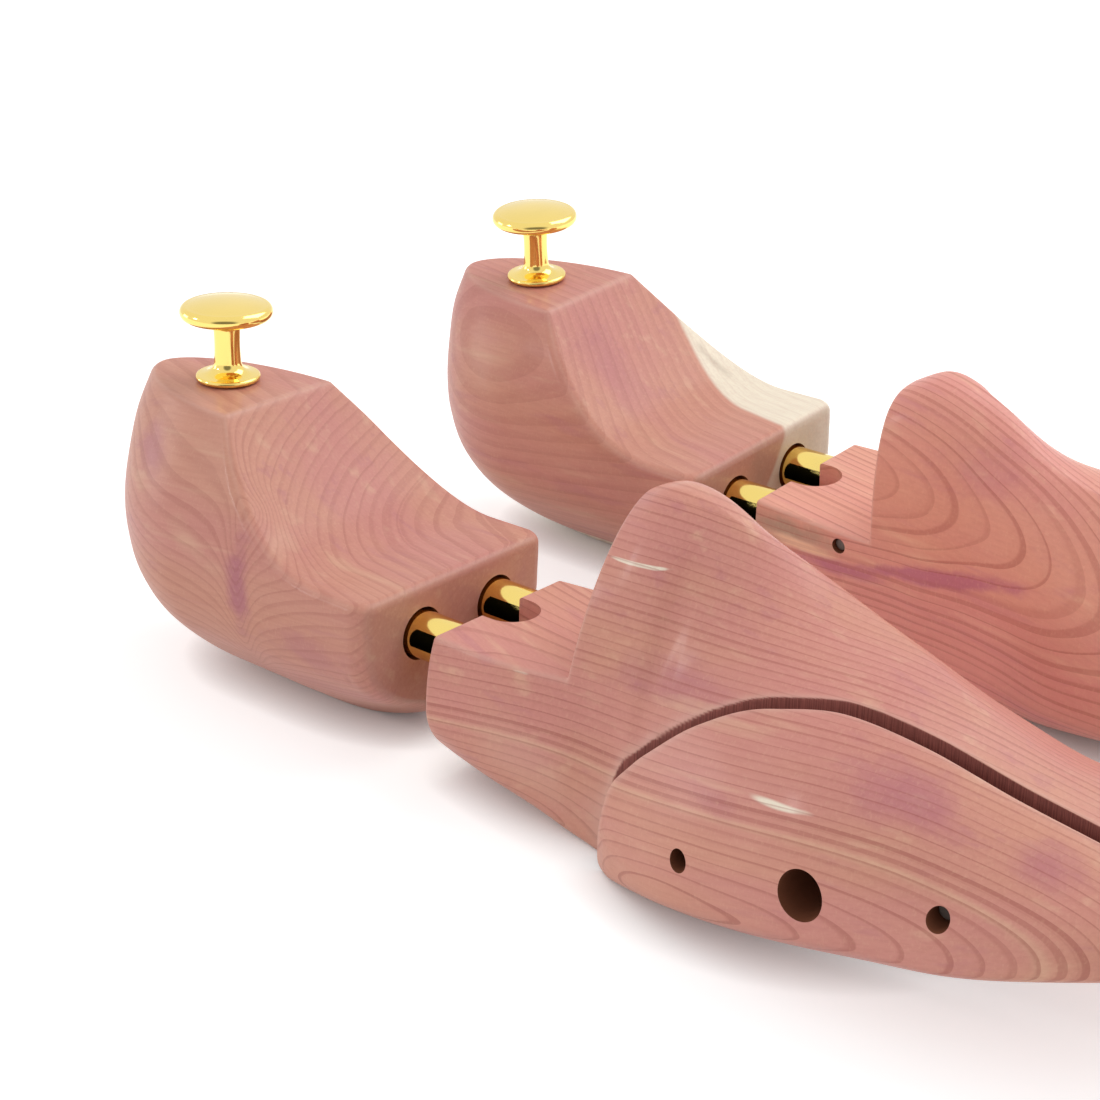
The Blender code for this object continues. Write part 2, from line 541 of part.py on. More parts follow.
def side_fittings(tree, hand, parts, cutters, empty, body, side):
    """Screw, washer, spring and guide pins of the side piece, with the holes for them in both woods."""
    axis = split_axis(hand)
    place = split_point(*SCREW_PLACE, hand)
    shoulder = -SPLIT_GAP - SHOULDER
    far = -60 * MM
    hole = turned(tree + "_screw_hole", [(0.0, 1 * MM), (SCREW_RADIUS + RUN_GAP, 1 * MM), (SCREW_RADIUS + RUN_GAP, shoulder),
                                         (SCREW_HOLE_RADIUS, shoulder), (SCREW_HOLE_RADIUS, far), (0.0, far)],
                  ROUND, cutters, empty, place, axis)
    pocket = turned(tree + "_spring_pocket",
                    [(0.0, SCREW_IN_BODY + SEAT_GAP), (SCREW_RADIUS + SEAT_GAP, SCREW_IN_BODY + SEAT_GAP),
                     (SCREW_RADIUS + SEAT_GAP, SIDE_SPRING_SEAT), (SCREW_HOLE_RADIUS, SIDE_SPRING_SEAT),
                     (SCREW_HOLE_RADIUS, -1 * MM), (0.0, -1 * MM)], ROUND, cutters, empty, place, axis)
    for cutter in (hole, pocket):
        hide_cutter(cutter)
    apply_boolean(side, hole)
    apply_boolean(body, pocket)
    under_head = shoulder - SEAT_GAP - WASHER - SEAT_GAP
    screw = [(0.0, SCREW_IN_BODY), (SCREW_RADIUS, SCREW_IN_BODY), (SCREW_RADIUS, under_head),
             (SCREW_HEAD_RADIUS, under_head), (SCREW_HEAD_RADIUS, under_head - 0.6 * SCREW_HEAD),
             (0.75 * SCREW_HEAD_RADIUS, under_head - SCREW_HEAD), (0.0, under_head - SCREW_HEAD)]
    turned(tree + "_side_screw", screw, ROUND, parts, empty, place, axis, STEEL)
    turned(tree + "_side_washer", ring_profile(SCREW_RADIUS + SEAT_GAP, SCREW_HEAD_RADIUS, under_head + SEAT_GAP,
                                               under_head + SEAT_GAP + WASHER), ROUND, parts, empty, place, axis,
           STEEL, closed=True)
    coil(tree + "_side_spring", SIDE_SPRING_RADIUS, SIDE_SPRING_WIRE, SIDE_SPRING_TURNS, -SPLIT_GAP, SIDE_SPRING_SEAT,
         parts, empty, place, axis, 1)
    for label, (x, z) in zip(("rear", "front"), PIN_PLACES):
        place = split_point(x, z, hand)
        surface = abs(outer_surface(x, z, hand) - place.y) / math.cos(SPLIT_ANGLE) + SIDE_OPEN
        slide = turned(f"{tree}_{label}_pin_slide", rod_profile(PIN_RADIUS + RUN_GAP, far, 0.5 * MM), SMALL_ROUND,
                       cutters, empty, place, axis)
        socket = turned(f"{tree}_{label}_pin_socket", rod_profile(PIN_RADIUS + SEAT_GAP, -1 * MM, PIN_IN_BODY + SEAT_GAP),
                        SMALL_ROUND, cutters, empty, place, axis)
        for cutter in (slide, socket):
            hide_cutter(cutter)
        apply_boolean(side, slide)
        apply_boolean(body, socket)
        turned(f"{tree}_{label}_guide_pin", rod_profile(PIN_RADIUS, -surface + PIN_RECESS, PIN_IN_BODY), SMALL_ROUND,
               parts, empty, place, axis, STEEL)


def forefoot(tree, hand, parts, cutters, empty, side_empty, ground):
    """Forefoot with milled neck, tube bores and notch, and the side piece split from its outer side."""
    rings = forefoot_rings(hand)
    body = add_object(tree + "_forefoot_block", skin(tree + "_forefoot_block", rings), parts, empty, WOOD)
    moved = [ring - np.array(split_axis(hand)) * SIDE_OPEN for ring in rings]
    side = add_object(tree + "_side_piece", skin(tree + "_side_piece", moved), parts, side_empty, WOOD)
    side.location = -split_point(*SCREW_PLACE, hand)
    for obj in (body, side):
        smooth(obj)
        apply_boolean(obj, ground)
    apply_boolean(body, split_box(tree + "_outside_split", hand, SPLIT_GAP, True, cutters, empty))
    apply_boolean(side, split_box(tree + "_inside_split", hand, SPLIT_GAP, False, cutters, empty))
    apply_boolean(body, box(tree + "_neck_step", (0, -BIG, NECK_TOP), (NECK_END, BIG, BIG), cutters, empty))
    for y in (-TUBE_SPACING / 2, TUBE_SPACING / 2):
        profile = rod_profile(TUBE_RADIUS + SEAT_GAP, 0.0, HEEL_TO_NECK + TUBE_IN_NECK + SEAT_GAP)
        bore = turned(f"{tree}_neck_bore_{y > 0}", profile, ROUND, cutters, empty, (0, y, 0), (1, 0, 0))
        hide_cutter(bore)
        apply_boolean(body, bore)
    centre = HEEL_TO_NECK + NOTCH_DEPTH - NOTCH_RADIUS
    notch = turned(tree + "_notch", rod_profile(NOTCH_RADIUS, -BIG, BIG), ROUND, cutters, empty, (centre, 0, 0), (0, 0, 1))
    hide_cutter(notch)
    apply_boolean(body, notch)
    apply_boolean(body, box(tree + "_notch_mouth", (0, -NOTCH_RADIUS, -BIG), (centre, NOTCH_RADIUS, BIG), cutters, empty))
    return body, side


def cross_pin(tree, hand, parts, cutters, empty, body):
    """Pin from the neck's inner side through both tubes, and the cutter that drills all three."""
    inner = -hand * outer_surface(CROSS_PIN_X, CROSS_PIN_Z, -hand)
    start = abs(inner) - CROSS_PIN_RECESS
    hole = turned(tree + "_cross_pin_hole", rod_profile(CROSS_PIN_RADIUS + SEAT_GAP, -CROSS_PIN_END - SEAT_GAP, 60 * MM),
                  SMALL_ROUND, cutters, empty, (CROSS_PIN_X, 0, CROSS_PIN_Z), (0, hand, 0))
    hide_cutter(hole)
    apply_boolean(body, hole)
    turned(tree + "_cross_pin", rod_profile(CROSS_PIN_RADIUS, -CROSS_PIN_END, start), SMALL_ROUND, parts, empty,
           (CROSS_PIN_X, 0, CROSS_PIN_Z), (0, hand, 0), STEEL)
    return hole


def new_empty(name, collection, parent=None, place=(0, 0, 0), lean=0.0):
    obj = bpy.data.objects.new(name, None)
    obj.empty_display_size = 20 * MM
    collection.objects.link(obj)
    obj.location = place
    obj.rotation_euler.x = lean
    obj.parent = parent
    return obj


def tree(name, hand, parts, cutters, ground):
    """One shoe tree; a hand of +1 is the right foot's."""
    middle = (HEEL_LENGTH - TOE_END) / 2
    place = (middle - hand * PAIR_STAGGER / 2, -hand * PAIR_SPACING / 2, AXIS_HEIGHT)
    root = new_empty(name + "_tree", parts, place=place, lean=-hand * LEAN)
    heel = new_empty(name + "_heel_slide", parts, root)
    side_slide = new_empty(name + "_side_slide", parts, root, split_point(*SCREW_PLACE, hand))
    bpy.context.view_layer.update()
    body, side = forefoot(name, hand, parts, cutters, root, side_slide, ground)
    pin_hole = cross_pin(name, hand, parts, cutters, root, body)
    heel_block(name, hand, parts, cutters, heel, ground)
    knob(name, parts, heel)
    for side_name, y in (("outer", -hand * TUBE_SPACING / 2), ("inner", hand * TUBE_SPACING / 2)):
        tube_set(name, side_name, y, parts, cutters, heel, root, pin_hole)
    side_fittings(name, hand, parts, cutters, root, body, side)


def main():
    clear_scene()
    parts = new_collection("shoe_trees")
    cutters = new_collection("cutters")
    ground = box("table_cutter", (-BIG, -BIG, -BIG), (BIG, BIG, 0.0), cutters, None)
    tree("right", 1, parts, cutters, ground)
    tree("left", -1, parts, cutters, ground)
    bpy.context.view_layer.update()


main()
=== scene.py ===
"""A pair of cedar shoe trees: sanded wood, brass tubes and knobs, and the fittings, around their CAD frame.

Lengths are metres. Each tree is worked out in its own axes: the origin is midway between its two tubes at
the heel block's front face, x to the toe, y to the inner (medial) side of the foot, z up. A hand of +1
places the right tree in the frame, and -1 its mirror image, the left one.
"""
import math

import bmesh
import bpy
import numpy as np
from mathutils import Matrix, Vector


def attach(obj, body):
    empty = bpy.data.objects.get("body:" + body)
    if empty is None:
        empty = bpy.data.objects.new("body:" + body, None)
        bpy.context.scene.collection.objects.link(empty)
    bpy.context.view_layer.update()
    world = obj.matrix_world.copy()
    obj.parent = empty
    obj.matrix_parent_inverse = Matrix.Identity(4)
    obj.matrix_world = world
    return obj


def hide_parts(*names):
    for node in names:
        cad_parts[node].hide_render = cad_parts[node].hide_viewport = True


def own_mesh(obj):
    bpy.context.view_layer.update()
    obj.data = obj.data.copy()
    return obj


bl_info = {
    "name": "Cedar shoe trees",
    "version": (1, 0, 0),
    "blender": (4, 5, 0),
    "location": "3D View > Sidebar > Shoe trees",
    "description": "Builds a pair of sprung cedar shoe trees around their CAD frame",
    "category": "Add Mesh",
}

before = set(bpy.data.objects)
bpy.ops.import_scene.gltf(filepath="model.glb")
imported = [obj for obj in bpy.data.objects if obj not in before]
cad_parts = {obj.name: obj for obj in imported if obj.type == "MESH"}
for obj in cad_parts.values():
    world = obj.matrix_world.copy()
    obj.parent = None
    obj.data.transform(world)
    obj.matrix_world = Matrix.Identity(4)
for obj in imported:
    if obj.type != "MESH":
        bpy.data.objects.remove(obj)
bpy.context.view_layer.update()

MM = 0.001
HANDS = {"right": 1, "left": -1}

# How the pair stands
PAIR_SPACING = 97.0 * MM
PAIR_STAGGER = 6.8 * MM
LEAN = math.radians(2.3)
AXIS_HEIGHT = 26.0 * MM

# Clearances
SEAT_GAP = 0.3 * MM
SLIDE_GAP = 0.65 * MM
PRESS_GAP = 0.1 * MM              # round the tubes in the neck, so that the bores stay clear of its notch
RUN_GAP = 0.35 * MM

# Heel block
HEEL_LENGTH = 91.6 * MM
HEEL_WIDTH = 55.2 * MM
HEEL_TOP = 35.2 * MM
HEEL_TOP_FRONT = 51.3 * MM
HEEL_SIDE_FLARE = 0.04
HEEL_SOLE_RISE = 8.0 * MM
HEEL_SOLE_CURL = 29.0 * MM
SCOOP_FRONT = 10.7 * MM
SCOOP_FLAT = 14.0 * MM

# Knob
KNOB_BACK = 67.5 * MM
KNOB_RADIUS = 10.0 * MM
KNOB_HEIGHT = 17.6 * MM
KNOB_HEAD = 5.2 * MM
KNOB_STEM_RADIUS = 2.9 * MM
KNOB_FLANGE_RADIUS = 7.0 * MM
STUD_RADIUS = 2.0 * MM
STUD_IN_KNOB = 9.0 * MM
STUD_IN_WOOD = 22.0 * MM

# Tubes and their springs
TUBE_SPACING = 22.4 * MM
TUBE_RADIUS = 5.0 * MM
TUBE_INNER = 4.4 * MM
TUBE_IN_HEEL = 30.0 * MM
TUBE_IN_NECK = 45.0 * MM
HEEL_BORE_DEPTH = 62.0 * MM
ROD_RADIUS = 2.0 * MM
ROD_IN_WOOD = 9.0 * MM
SPRING_RADIUS = 3.8 * MM
SPRING_WIRE = 0.55 * MM
SPRING_TURNS = 7

# Forefoot
HEEL_TO_NECK = 11.0 * MM
NECK_LENGTH = 32.0 * MM
NECK_TOP = 5.8 * MM
NECK_END = HEEL_TO_NECK + NECK_LENGTH
NOTCH_RADIUS = 6.0 * MM
NOTCH_DEPTH = 9.0 * MM
TOE_END = 186.0 * MM
FOREFOOT_WIDTH = 72.0 * MM
INSTEP_HEIGHT = 41.0 * MM
TOE_CURL = 0.62
TOE_CURL_POWER = 2.4

# Side piece
SPLIT_START = (57.0 * MM, -20.0 * MM)
SPLIT_ANGLE = math.radians(6.0)
SPLIT_GAP = 4.0 * MM
SAW_CUT = 0.8 * MM
SIDE_OPEN = SPLIT_GAP - SAW_CUT
SCREW_PLACE = (110.0 * MM, -5.0 * MM)
PIN_PLACES = {"rear": (82.2 * MM, -10.5 * MM), "front": (135.7 * MM, -0.4 * MM)}
SCREW_HOLE_RADIUS = 4.6 * MM
SCREW_HEAD_RADIUS = 4.1 * MM
SCREW_HEAD = 3.2 * MM
SCREW_RADIUS = 2.0 * MM
SCREW_IN_BODY = 20.0 * MM
SHOULDER = 5.0 * MM
WASHER = 1.0 * MM
SIDE_SPRING_RADIUS = 3.2 * MM
SIDE_SPRING_WIRE = 0.45 * MM
SIDE_SPRING_TURNS = 5
SIDE_SPRING_SEAT = 8.0 * MM
PIN_RADIUS = 1.75 * MM
PIN_IN_BODY = 12.0 * MM

# Radii of the wood's rounded edges
SAW_EDGE = 0.25 * MM
SOLE_EDGE = 0.5 * MM
HEEL_SOLE_EDGE = 0.6 * MM
STEP_EDGE = 0.5 * MM
NECK_EDGE = 0.7 * MM
NECK_EDGE_MORE = 0.2 * MM         # added to it 4 mm and more behind the step
NECK_END_EDGE = 0.8 * MM
HEEL_FRONT_EDGE = 4.5 * MM
SCOOP_EDGE = 0.5 * MM
HEEL_TOP_EDGE = 1.0 * MM
HEEL_LOW_EDGE = 1.2 * MM          # added to it 12 mm and more below the heel's top

# Cross pin
CROSS_PIN_X = 35.0 * MM
CROSS_PIN_Z = 2.5 * MM
CROSS_PIN_RADIUS = 1.4 * MM
CROSS_PIN_END = 15.5 * MM
CROSS_PIN_RECESS = 1.0 * MM

FAR = 60 * MM                     # clear of a tree, for the far ends of cutters
PROUD = 1 * MM                    # how far a cutter stands out of the face that it starts from

# Levels of the heel block and stations of the forefoot, as shares of the sizes above. From the ball of the foot
# on, the outer shares are a hair smaller than the solid's, so that the wood stays inside the CAD's box.
LEVELS = {
    "height": (-1.04, -0.88, -0.69, -0.46, -0.19, 0.085, 0.31, 0.54, 0.77, 1.0),
    "outer": (0.091, 0.199, 0.326, 0.426, 0.485, 0.5, 0.5, 0.453, 0.380, 0.294),
    "inner": (0.072, 0.172, 0.290, 0.395, 0.464, 0.478, 0.475, 0.431, 0.366, 0.272),
    "back": (0.66, 0.726, 0.799, 0.879, 0.950, 0.991, 1.0, 1.0, 0.993, 0.963),
    "turn": (0.453, 0.502, 0.553, 0.6, 0.611, 0.611, 0.604, 0.598, 0.585, 0.557),
}
STATIONS = {
    "place": (-0.224, -0.126, 0.0, 0.049, 0.098, 0.122, 0.161, 0.245, 0.343, 0.448, 0.552, 0.678, 0.818, 1.0),
    "outer": (0.311, 0.313, 0.29, 0.277, 0.293, 0.328, 0.37, 0.435, 0.467, 0.49, 0.4893, 0.4943, 0.4973, 0.4903),
    "inner": (0.27, 0.288, 0.304, 0.314, 0.329, 0.335, 0.347, 0.382, 0.438, 0.465, 0.486, 0.486, 0.507, 0.514),
    "top": (0.488, 0.634, 0.924, 1.0, 0.985, 0.959, 0.9, 0.744, 0.634, 0.585, 0.5, 0.378, 0.312, 0.261),
    "level": (-0.31, -0.33, -0.42, -0.55, -0.65, -0.663, -0.65, -0.55, -0.46, -0.45, -0.42, -0.32, -0.15, -0.02),
    "low": (-0.345, -0.443, -0.54, -0.688, -0.779, -0.747, -0.732, -0.701, -0.618, -0.51, -0.409, -0.32, -0.15,
            -0.02),
    "bottom": (-0.935, -0.96, -1.096, -1.115, -1.115, -1.104, -1.077, -1.0, -0.946, -0.858, -0.754, -0.569, -0.419,
               -0.296),
    "ridge": (0.042, 0.075, 0.088, 0.056, 0.068, 0.073, 0.083, 0.139, 0.139, 0.063, -0.014, -0.062, -0.042, 0.0),
    "swing": (0, 0, 0, 0, 0, 0, 0, 0, 0, 0, 0, 0.014, 0.056, 0.125),
    "full_outer": (2.277, 2.253, 1.653, 1.603, 1.547, 1.32, 1.273, 1.556, 2.062, 2.339, 2.238, 1.9, 1.9, 2.0),
    "full_inner": (2.8, 3.1, 3.3, 3.0, 2.6, 2.4, 2.1, 1.75, 1.4, 1.37, 1.4, 1.4, 1.75, 2.2),
    "full_sole": (2.0, 2.65, 3.5, 4.5, 5.6, 5.2, 4.0, 2.85, 2.5, 2.2, 2.05, 1.95, 1.9, 1.9),
}


# Solids as functions: each gives a length that is negative inside the wood and positive outside it

def through(xs, ys, x):
    """Smooth curve through given points: cubic pieces with the slopes of their neighbours."""
    xs, ys, x = (np.asarray(v, float) for v in (xs, ys, x))
    slopes = np.gradient(ys, xs)
    i = np.clip(np.searchsorted(xs, x) - 1, 0, len(xs) - 2)
    h = xs[i + 1] - xs[i]
    t = (x - xs[i]) / h
    return ((1 + 2 * t) * (1 - t) ** 2 * ys[i] + t * (1 - t) ** 2 * h * slopes[i]
            + t * t * (3 - 2 * t) * ys[i + 1] + t * t * (t - 1) * h * slopes[i + 1])


def both(a, b, radius):
    """What lies in two solids at once, with the edge between them rounded to a radius.

    Inside the radius the larger length gives way to the distance from the rounding's centre.
    """
    corner = np.hypot(np.maximum(a + radius, 0), np.maximum(b + radius, 0))
    return np.minimum(np.maximum(a, b), -radius) + corner


def oval(across, up, half, height, full):
    """Length outside a superellipse |across|^full + |up|^full = 1, with half widths half and height."""
    across, up = np.abs(across) / half, np.abs(up) / height
    total = np.maximum(across ** full + up ** full, 1e-12)
    size = total ** (1 / full)
    slope = total ** (1 / full - 1) * np.hypot(across ** (full - 1) / half, up ** (full - 1) / height)
    return (size - 1) / np.maximum(slope, 1e-3 / (half + height))


def table_side(y, z):
    """Length below the table that the pair stands on."""
    return -(AXIS_HEIGHT - y * math.sin(LEAN) + z * math.cos(LEAN))


def forefoot_sizes(x):
    """Sizes of the forefoot's section at x, from its stations; the toe closes by a superellipse."""
    length = TOE_END - NECK_END
    known = {key: np.array(row, float) for key, row in STATIONS.items()}
    places = np.where(known["place"] < 0, NECK_END + known["place"] * NECK_LENGTH / 0.224,
                      NECK_END + known["place"] * length)
    size = {"outer": FOREFOOT_WIDTH, "inner": FOREFOOT_WIDTH, "ridge": FOREFOOT_WIDTH, "swing": FOREFOOT_WIDTH,
            "top": INSTEP_HEIGHT, "level": AXIS_HEIGHT, "low": AXIS_HEIGHT, "bottom": AXIS_HEIGHT}
    v = {key: through(places, row * size.get(key, 1.0), x) for key, row in known.items() if key != "place"}
    start = NECK_END + TOE_CURL * length
    curl = np.clip((x - start) / (TOE_END - start), 0, 0.9998)
    close = (1 - curl ** TOE_CURL_POWER) ** (1 / TOE_CURL_POWER)
    v["up"], v["up_outer"] = (v["top"] - v["level"]) * close, (v["top"] - v["low"]) * close
    v["down"], v["down_outer"] = (v["level"] - v["bottom"]) * close, (v["low"] - v["bottom"]) * close
    for key in ("ridge", "outer", "inner"):
        v[key] = v[key] * close
    return v


def forefoot_skin(v, y, z):
    """The whole forefoot before it is milled and split: a quarter superellipse on each side of the ridge."""
    y = y - v["swing"]
    medial = y > np.where(z > v["level"], v["ridge"], 0.0)
    z = z - np.where(medial, v["level"], v["low"])
    upper = z > 0
    middle = np.where(upper, v["ridge"], 0.0)
    half = np.where(medial, v["inner"] - middle, v["outer"] + middle)
    full = np.where(upper, np.where(medial, v["full_inner"], v["full_outer"]), v["full_sole"])
    up, down = np.where(medial, v["up"], v["up_outer"]), np.where(medial, v["down"], v["down_outer"])
    return oval(y - middle, z, half, np.where(upper, up, down), full)


def split_side(x, y):
    """Length past the split's forefoot face, towards the inner side of the foot."""
    return (y - SPLIT_START[1]) * math.cos(SPLIT_ANGLE) - (x - SPLIT_START[0]) * math.sin(SPLIT_ANGLE)


def forefoot_faces(x, y, z, sizes):
    """Lengths outside each of the forefoot's faces: skin, table, split, the neck's step and its rear."""
    return (forefoot_skin(sizes, y, z), table_side(y, z), -split_side(x, y),
            np.minimum(NECK_END - x, z - NECK_TOP), HEEL_TO_NECK - x)


def forefoot_solid(x, y, z, sizes):
    """Forefoot: what lies behind all of its faces, with their edges rounded."""
    skin, table, split, _, rear = forefoot_faces(x, y, z, sizes)
    solid = both(both(skin, table, SOLE_EDGE), split, SAW_EDGE)
    step = -both(x - NECK_END, NECK_TOP - z, STEP_EDGE)
    neck_edge = NECK_EDGE + NECK_EDGE_MORE * np.clip((NECK_END - x) / (4 * MM), 0, 1)
    return both(both(solid, step, neck_edge), rear, NECK_END_EDGE)


def side_faces(x, y, z, sizes):
    """Lengths outside the side piece's faces while it is closed up: skin, table and split."""
    return forefoot_skin(sizes, y, z), table_side(y - SIDE_OPEN, z), split_side(x, y) + SAW_CUT


def side_solid(x, y, z, sizes):
    """Side piece, closed up against the forefoot: the skin outside the saw cut."""
    skin, table, split = side_faces(x, y, z, sizes)
    return both(both(skin, table, SOLE_EDGE), split, SAW_EDGE)


def scoop_height(x):
    """Height and slope of the heel block's scooped upper side: a cubic Bezier curve from the top's edge."""
    points = np.array(((-HEEL_TOP_FRONT, HEEL_TOP), (-0.80 * HEEL_TOP_FRONT, 0.50 * (HEEL_TOP + SCOOP_FRONT)),
                       (-0.56 * HEEL_TOP_FRONT, SCOOP_FRONT), (-SCOOP_FLAT, SCOOP_FRONT)))
    t = np.linspace(0, 1, 200)[:, None]
    curve = ((1 - t) ** 3 * points[0] + 3 * t * (1 - t) ** 2 * points[1]
             + 3 * t * t * (1 - t) * points[2] + t ** 3 * points[3])
    slope = (points[1] - points[0])[1] / (points[1] - points[0])[0]
    height = np.interp(x, curve[:, 0], curve[:, 1])
    height = height + np.minimum(x + HEEL_TOP_FRONT, 0) * slope
    slopes = np.interp(x, curve[:, 0], np.gradient(curve[:, 1], curve[:, 0]))
    return height, slopes


def heel_faces(x, y, z):
    """Lengths outside the heel block's faces: loft, sole and table, scoop, top and front.

    The loft is made of horizontal levels, superellipses behind and straight in front of their turn.
    """
    along = np.maximum(0, 1 + x / HEEL_SOLE_CURL)
    level = z
    for _ in range(10):
        level = z - HEEL_SOLE_RISE * along ** 2 * np.clip(-level / AXIS_HEIGHT, 0, 1) ** 1.5
    shares = np.array(LEVELS["height"])
    known = np.where(shares < 0, shares * AXIS_HEIGHT, shares * HEEL_TOP)
    held = np.clip(level, known[0], known[-1] + 1 * MM)
    scale = {"outer": HEEL_WIDTH, "inner": HEEL_WIDTH, "back": HEEL_LENGTH, "turn": HEEL_LENGTH}
    v = {key: through(known, np.array(LEVELS[key]) * value, held) for key, value in scale.items()}
    flare = 1 + HEEL_SIDE_FLARE * np.maximum(0, x + v["turn"]) / v["turn"]
    half = np.where(y > 0, v["inner"], v["outer"]) * flare
    loft = oval(y, np.maximum(0, -x - v["turn"]), half, v["back"] - v["turn"], 2 / 1.06)
    height, slope = scoop_height(x)
    return loft, np.maximum(known[0] - level, table_side(y, z)), (z - height) / np.hypot(1, slope), z - HEEL_TOP, x


def heel_solid(x, y, z, _):
    """Heel block: what lies behind all of its faces; the scoop's edges grow softer from the top down."""
    loft, base, scoop, top, front = heel_faces(x, y, z)
    solid = both(both(loft, base, HEEL_SOLE_EDGE), front, HEEL_FRONT_EDGE)
    low = np.clip((HEEL_TOP - z) / (12 * MM), 0, 1)
    return both(solid, both(scoop, top, SCOOP_EDGE), HEEL_TOP_EDGE + HEEL_LOW_EDGE * low)


def face_marks(faces, sawn_face=None):
    """How near points lie to an edge, and whether they are on the sawn face, from their lengths."""
    faces = np.stack(np.broadcast_arrays(*faces))
    edge = np.exp(-(np.sort(faces, axis=0)[-2] / (0.7 * MM)) ** 2)
    if sawn_face is None:
        return edge, np.zeros_like(edge)
    others = np.delete(faces, sawn_face, axis=0).max(axis=0)
    return edge, np.clip(0.5 + (faces[sawn_face] - others) / (0.08 * MM), 0, 1)


# Surfaces: points on a grid of stations and angles

def section_frames(solid, x, low, high, count=90):
    """Middle and half widths of the wood in each section, from a grid of test points, taken twice."""
    low, high = (np.repeat(np.array([corner], float), len(x), axis=0) for corner in (low, high))
    for _ in range(2):
        share = np.linspace(0, 1, count)
        y = low[:, :1] + (high - low)[:, :1] * share
        z = low[:, 1:] + (high - low)[:, 1:] * share
        inside = solid(x[:, None, None], y[:, :, None], z[:, None, :], {}) < 0
        total = np.maximum(inside.sum(axis=(1, 2)), 1)
        middle = np.stack([(inside.sum(2) * y).sum(1), (inside.sum(1) * z).sum(1)], 1) / total[:, None]
        has_y, has_z = inside.any(2), inside.any(1)
        step = (high - low) / (count - 1)
        low = np.stack([np.where(has_y, y, 9).min(1), np.where(has_z, z, 9).min(1)], 1) - step
        high = np.stack([np.where(has_y, y, -9).max(1), np.where(has_z, z, -9).max(1)], 1) + step
    return middle, (high - low) / 2, inside.any(axis=(1, 2))


def outline(solid, x, sizes, middle, reach, angles, halvings=28):
    """Where a solid's length is zero along each direction from the middle line.

    A point is middle + r (reach_y cos a, reach_z sin a); r is closed in on by halving, for the whole grid.
    """
    cos, sin = np.cos(angles) * reach[:, :1], np.sin(angles) * reach[:, 1:]
    low, high = np.zeros_like(cos), np.full_like(cos, 3.0)
    for _ in range(halvings):
        r = (low + high) / 2
        inside = solid(x[:, None], middle[:, :1] + r * cos, middle[:, 1:] + r * sin, sizes) < 0
        low, high = np.where(inside, r, low), np.where(inside, high, r)
    return middle[:, :1] + low * cos, middle[:, 1:] + low * sin


def spread(values, width, axis):
    """Moving Gaussian mean along an axis; angles wrap round and stations hold their ends."""
    reach = int(3 * width)
    kernel = np.exp(-0.5 * (np.arange(-reach, reach + 1) / width) ** 2)
    pad = [(0, 0), (0, 0)]
    pad[axis] = (reach, reach)
    padded = np.pad(values, pad, mode="wrap" if axis == 1 else "edge")
    return np.apply_along_axis(np.convolve, axis, padded, kernel / kernel.sum(), mode="valid")


def close_set_angles(solid, x, sizes, middle, reach, count):
    """Angles for each ring, set closer where the outline turns, so that rounded edges have their points."""
    coarse = np.tile(np.linspace(-math.pi / 2, 1.5 * math.pi, 540, endpoint=False), (len(x), 1))
    y, z = outline(solid, x, sizes, middle, reach, coarse, 22)
    dy, dz = np.roll(y, -1, 1) - y, np.roll(z, -1, 1) - z
    length = np.hypot(dy, dz)
    heading = np.arctan2(dz, dy)
    turn = np.abs((heading - np.roll(heading, 1, 1) + math.pi) % (2 * math.pi) - math.pi)
    weight = length / length.sum(1, keepdims=True) + 0.9 * np.minimum(turn, 0.8) / (2 * math.pi)
    weight = spread(spread(weight, 4, 1), 5, 0)
    total = np.concatenate([np.zeros((len(x), 1)), np.cumsum(weight, 1)], 1)
    share = np.linspace(0, 1, count, endpoint=False)
    edges = np.append(coarse[0], 1.5 * math.pi)
    return np.stack([np.interp(share, row / row[-1], edges) for row in total])


def ring_surface(solid, x, sizes, middle, reach, count):
    """Grid of points (station, angle) on a solid's surface."""
    sizes = {key: value[:, None] for key, value in sizes.items()}
    angles = close_set_angles(solid, x, sizes, middle, reach, count)
    y, z = outline(solid, x, sizes, middle, reach, angles)
    return np.stack([np.broadcast_to(x[:, None], y.shape), y, z], axis=2)


def placed(points, hand):
    """From a tree's own axes into the frame: mirrored for the left tree, leaned and set down."""
    points = np.asarray(points, float) * (1, hand, 1)
    cos, sin = math.cos(-hand * LEAN), math.sin(-hand * LEAN)
    middle = (HEEL_LENGTH - TOE_END) / 2
    x = points[..., 0] + middle - hand * PAIR_STAGGER / 2
    y = points[..., 1] * cos - points[..., 2] * sin - hand * PAIR_SPACING / 2
    z = points[..., 1] * sin + points[..., 2] * cos + AXIS_HEIGHT
    return np.stack([x, y, z], axis=-1)


def grid_mesh(name, grid, closed=True, poles=True):
    """Mesh of a grid of points, with the rings joined round and the first and last ring closed to a point."""
    rows, count = grid.shape[:2]
    index = np.arange(rows * count).reshape(rows, count)
    right = np.roll(index, -1, 1) if closed else index[:, 1:]
    left = index if closed else index[:, :-1]
    quads = np.stack([left[:-1], right[:-1], right[1:], left[1:]], axis=-1).reshape(-1, 4)
    points = grid.reshape(-1, 3)
    faces = quads.tolist()
    if poles:
        ends = np.stack([grid[0].mean(0), grid[-1].mean(0)])
        points = np.concatenate([points, ends])
        base = rows * count
        faces += np.stack([np.full(count, base), np.roll(index[0], -1), index[0]], 1).tolist()
        faces += np.stack([np.full(count, base + 1), index[-1], np.roll(index[-1], -1)], 1).tolist()
    mesh = bpy.data.meshes.new(name)
    mesh.from_pydata(points, [], faces)
    if mesh_volume(mesh) < 0:
        mesh.flip_normals()
    mesh.update()
    return mesh


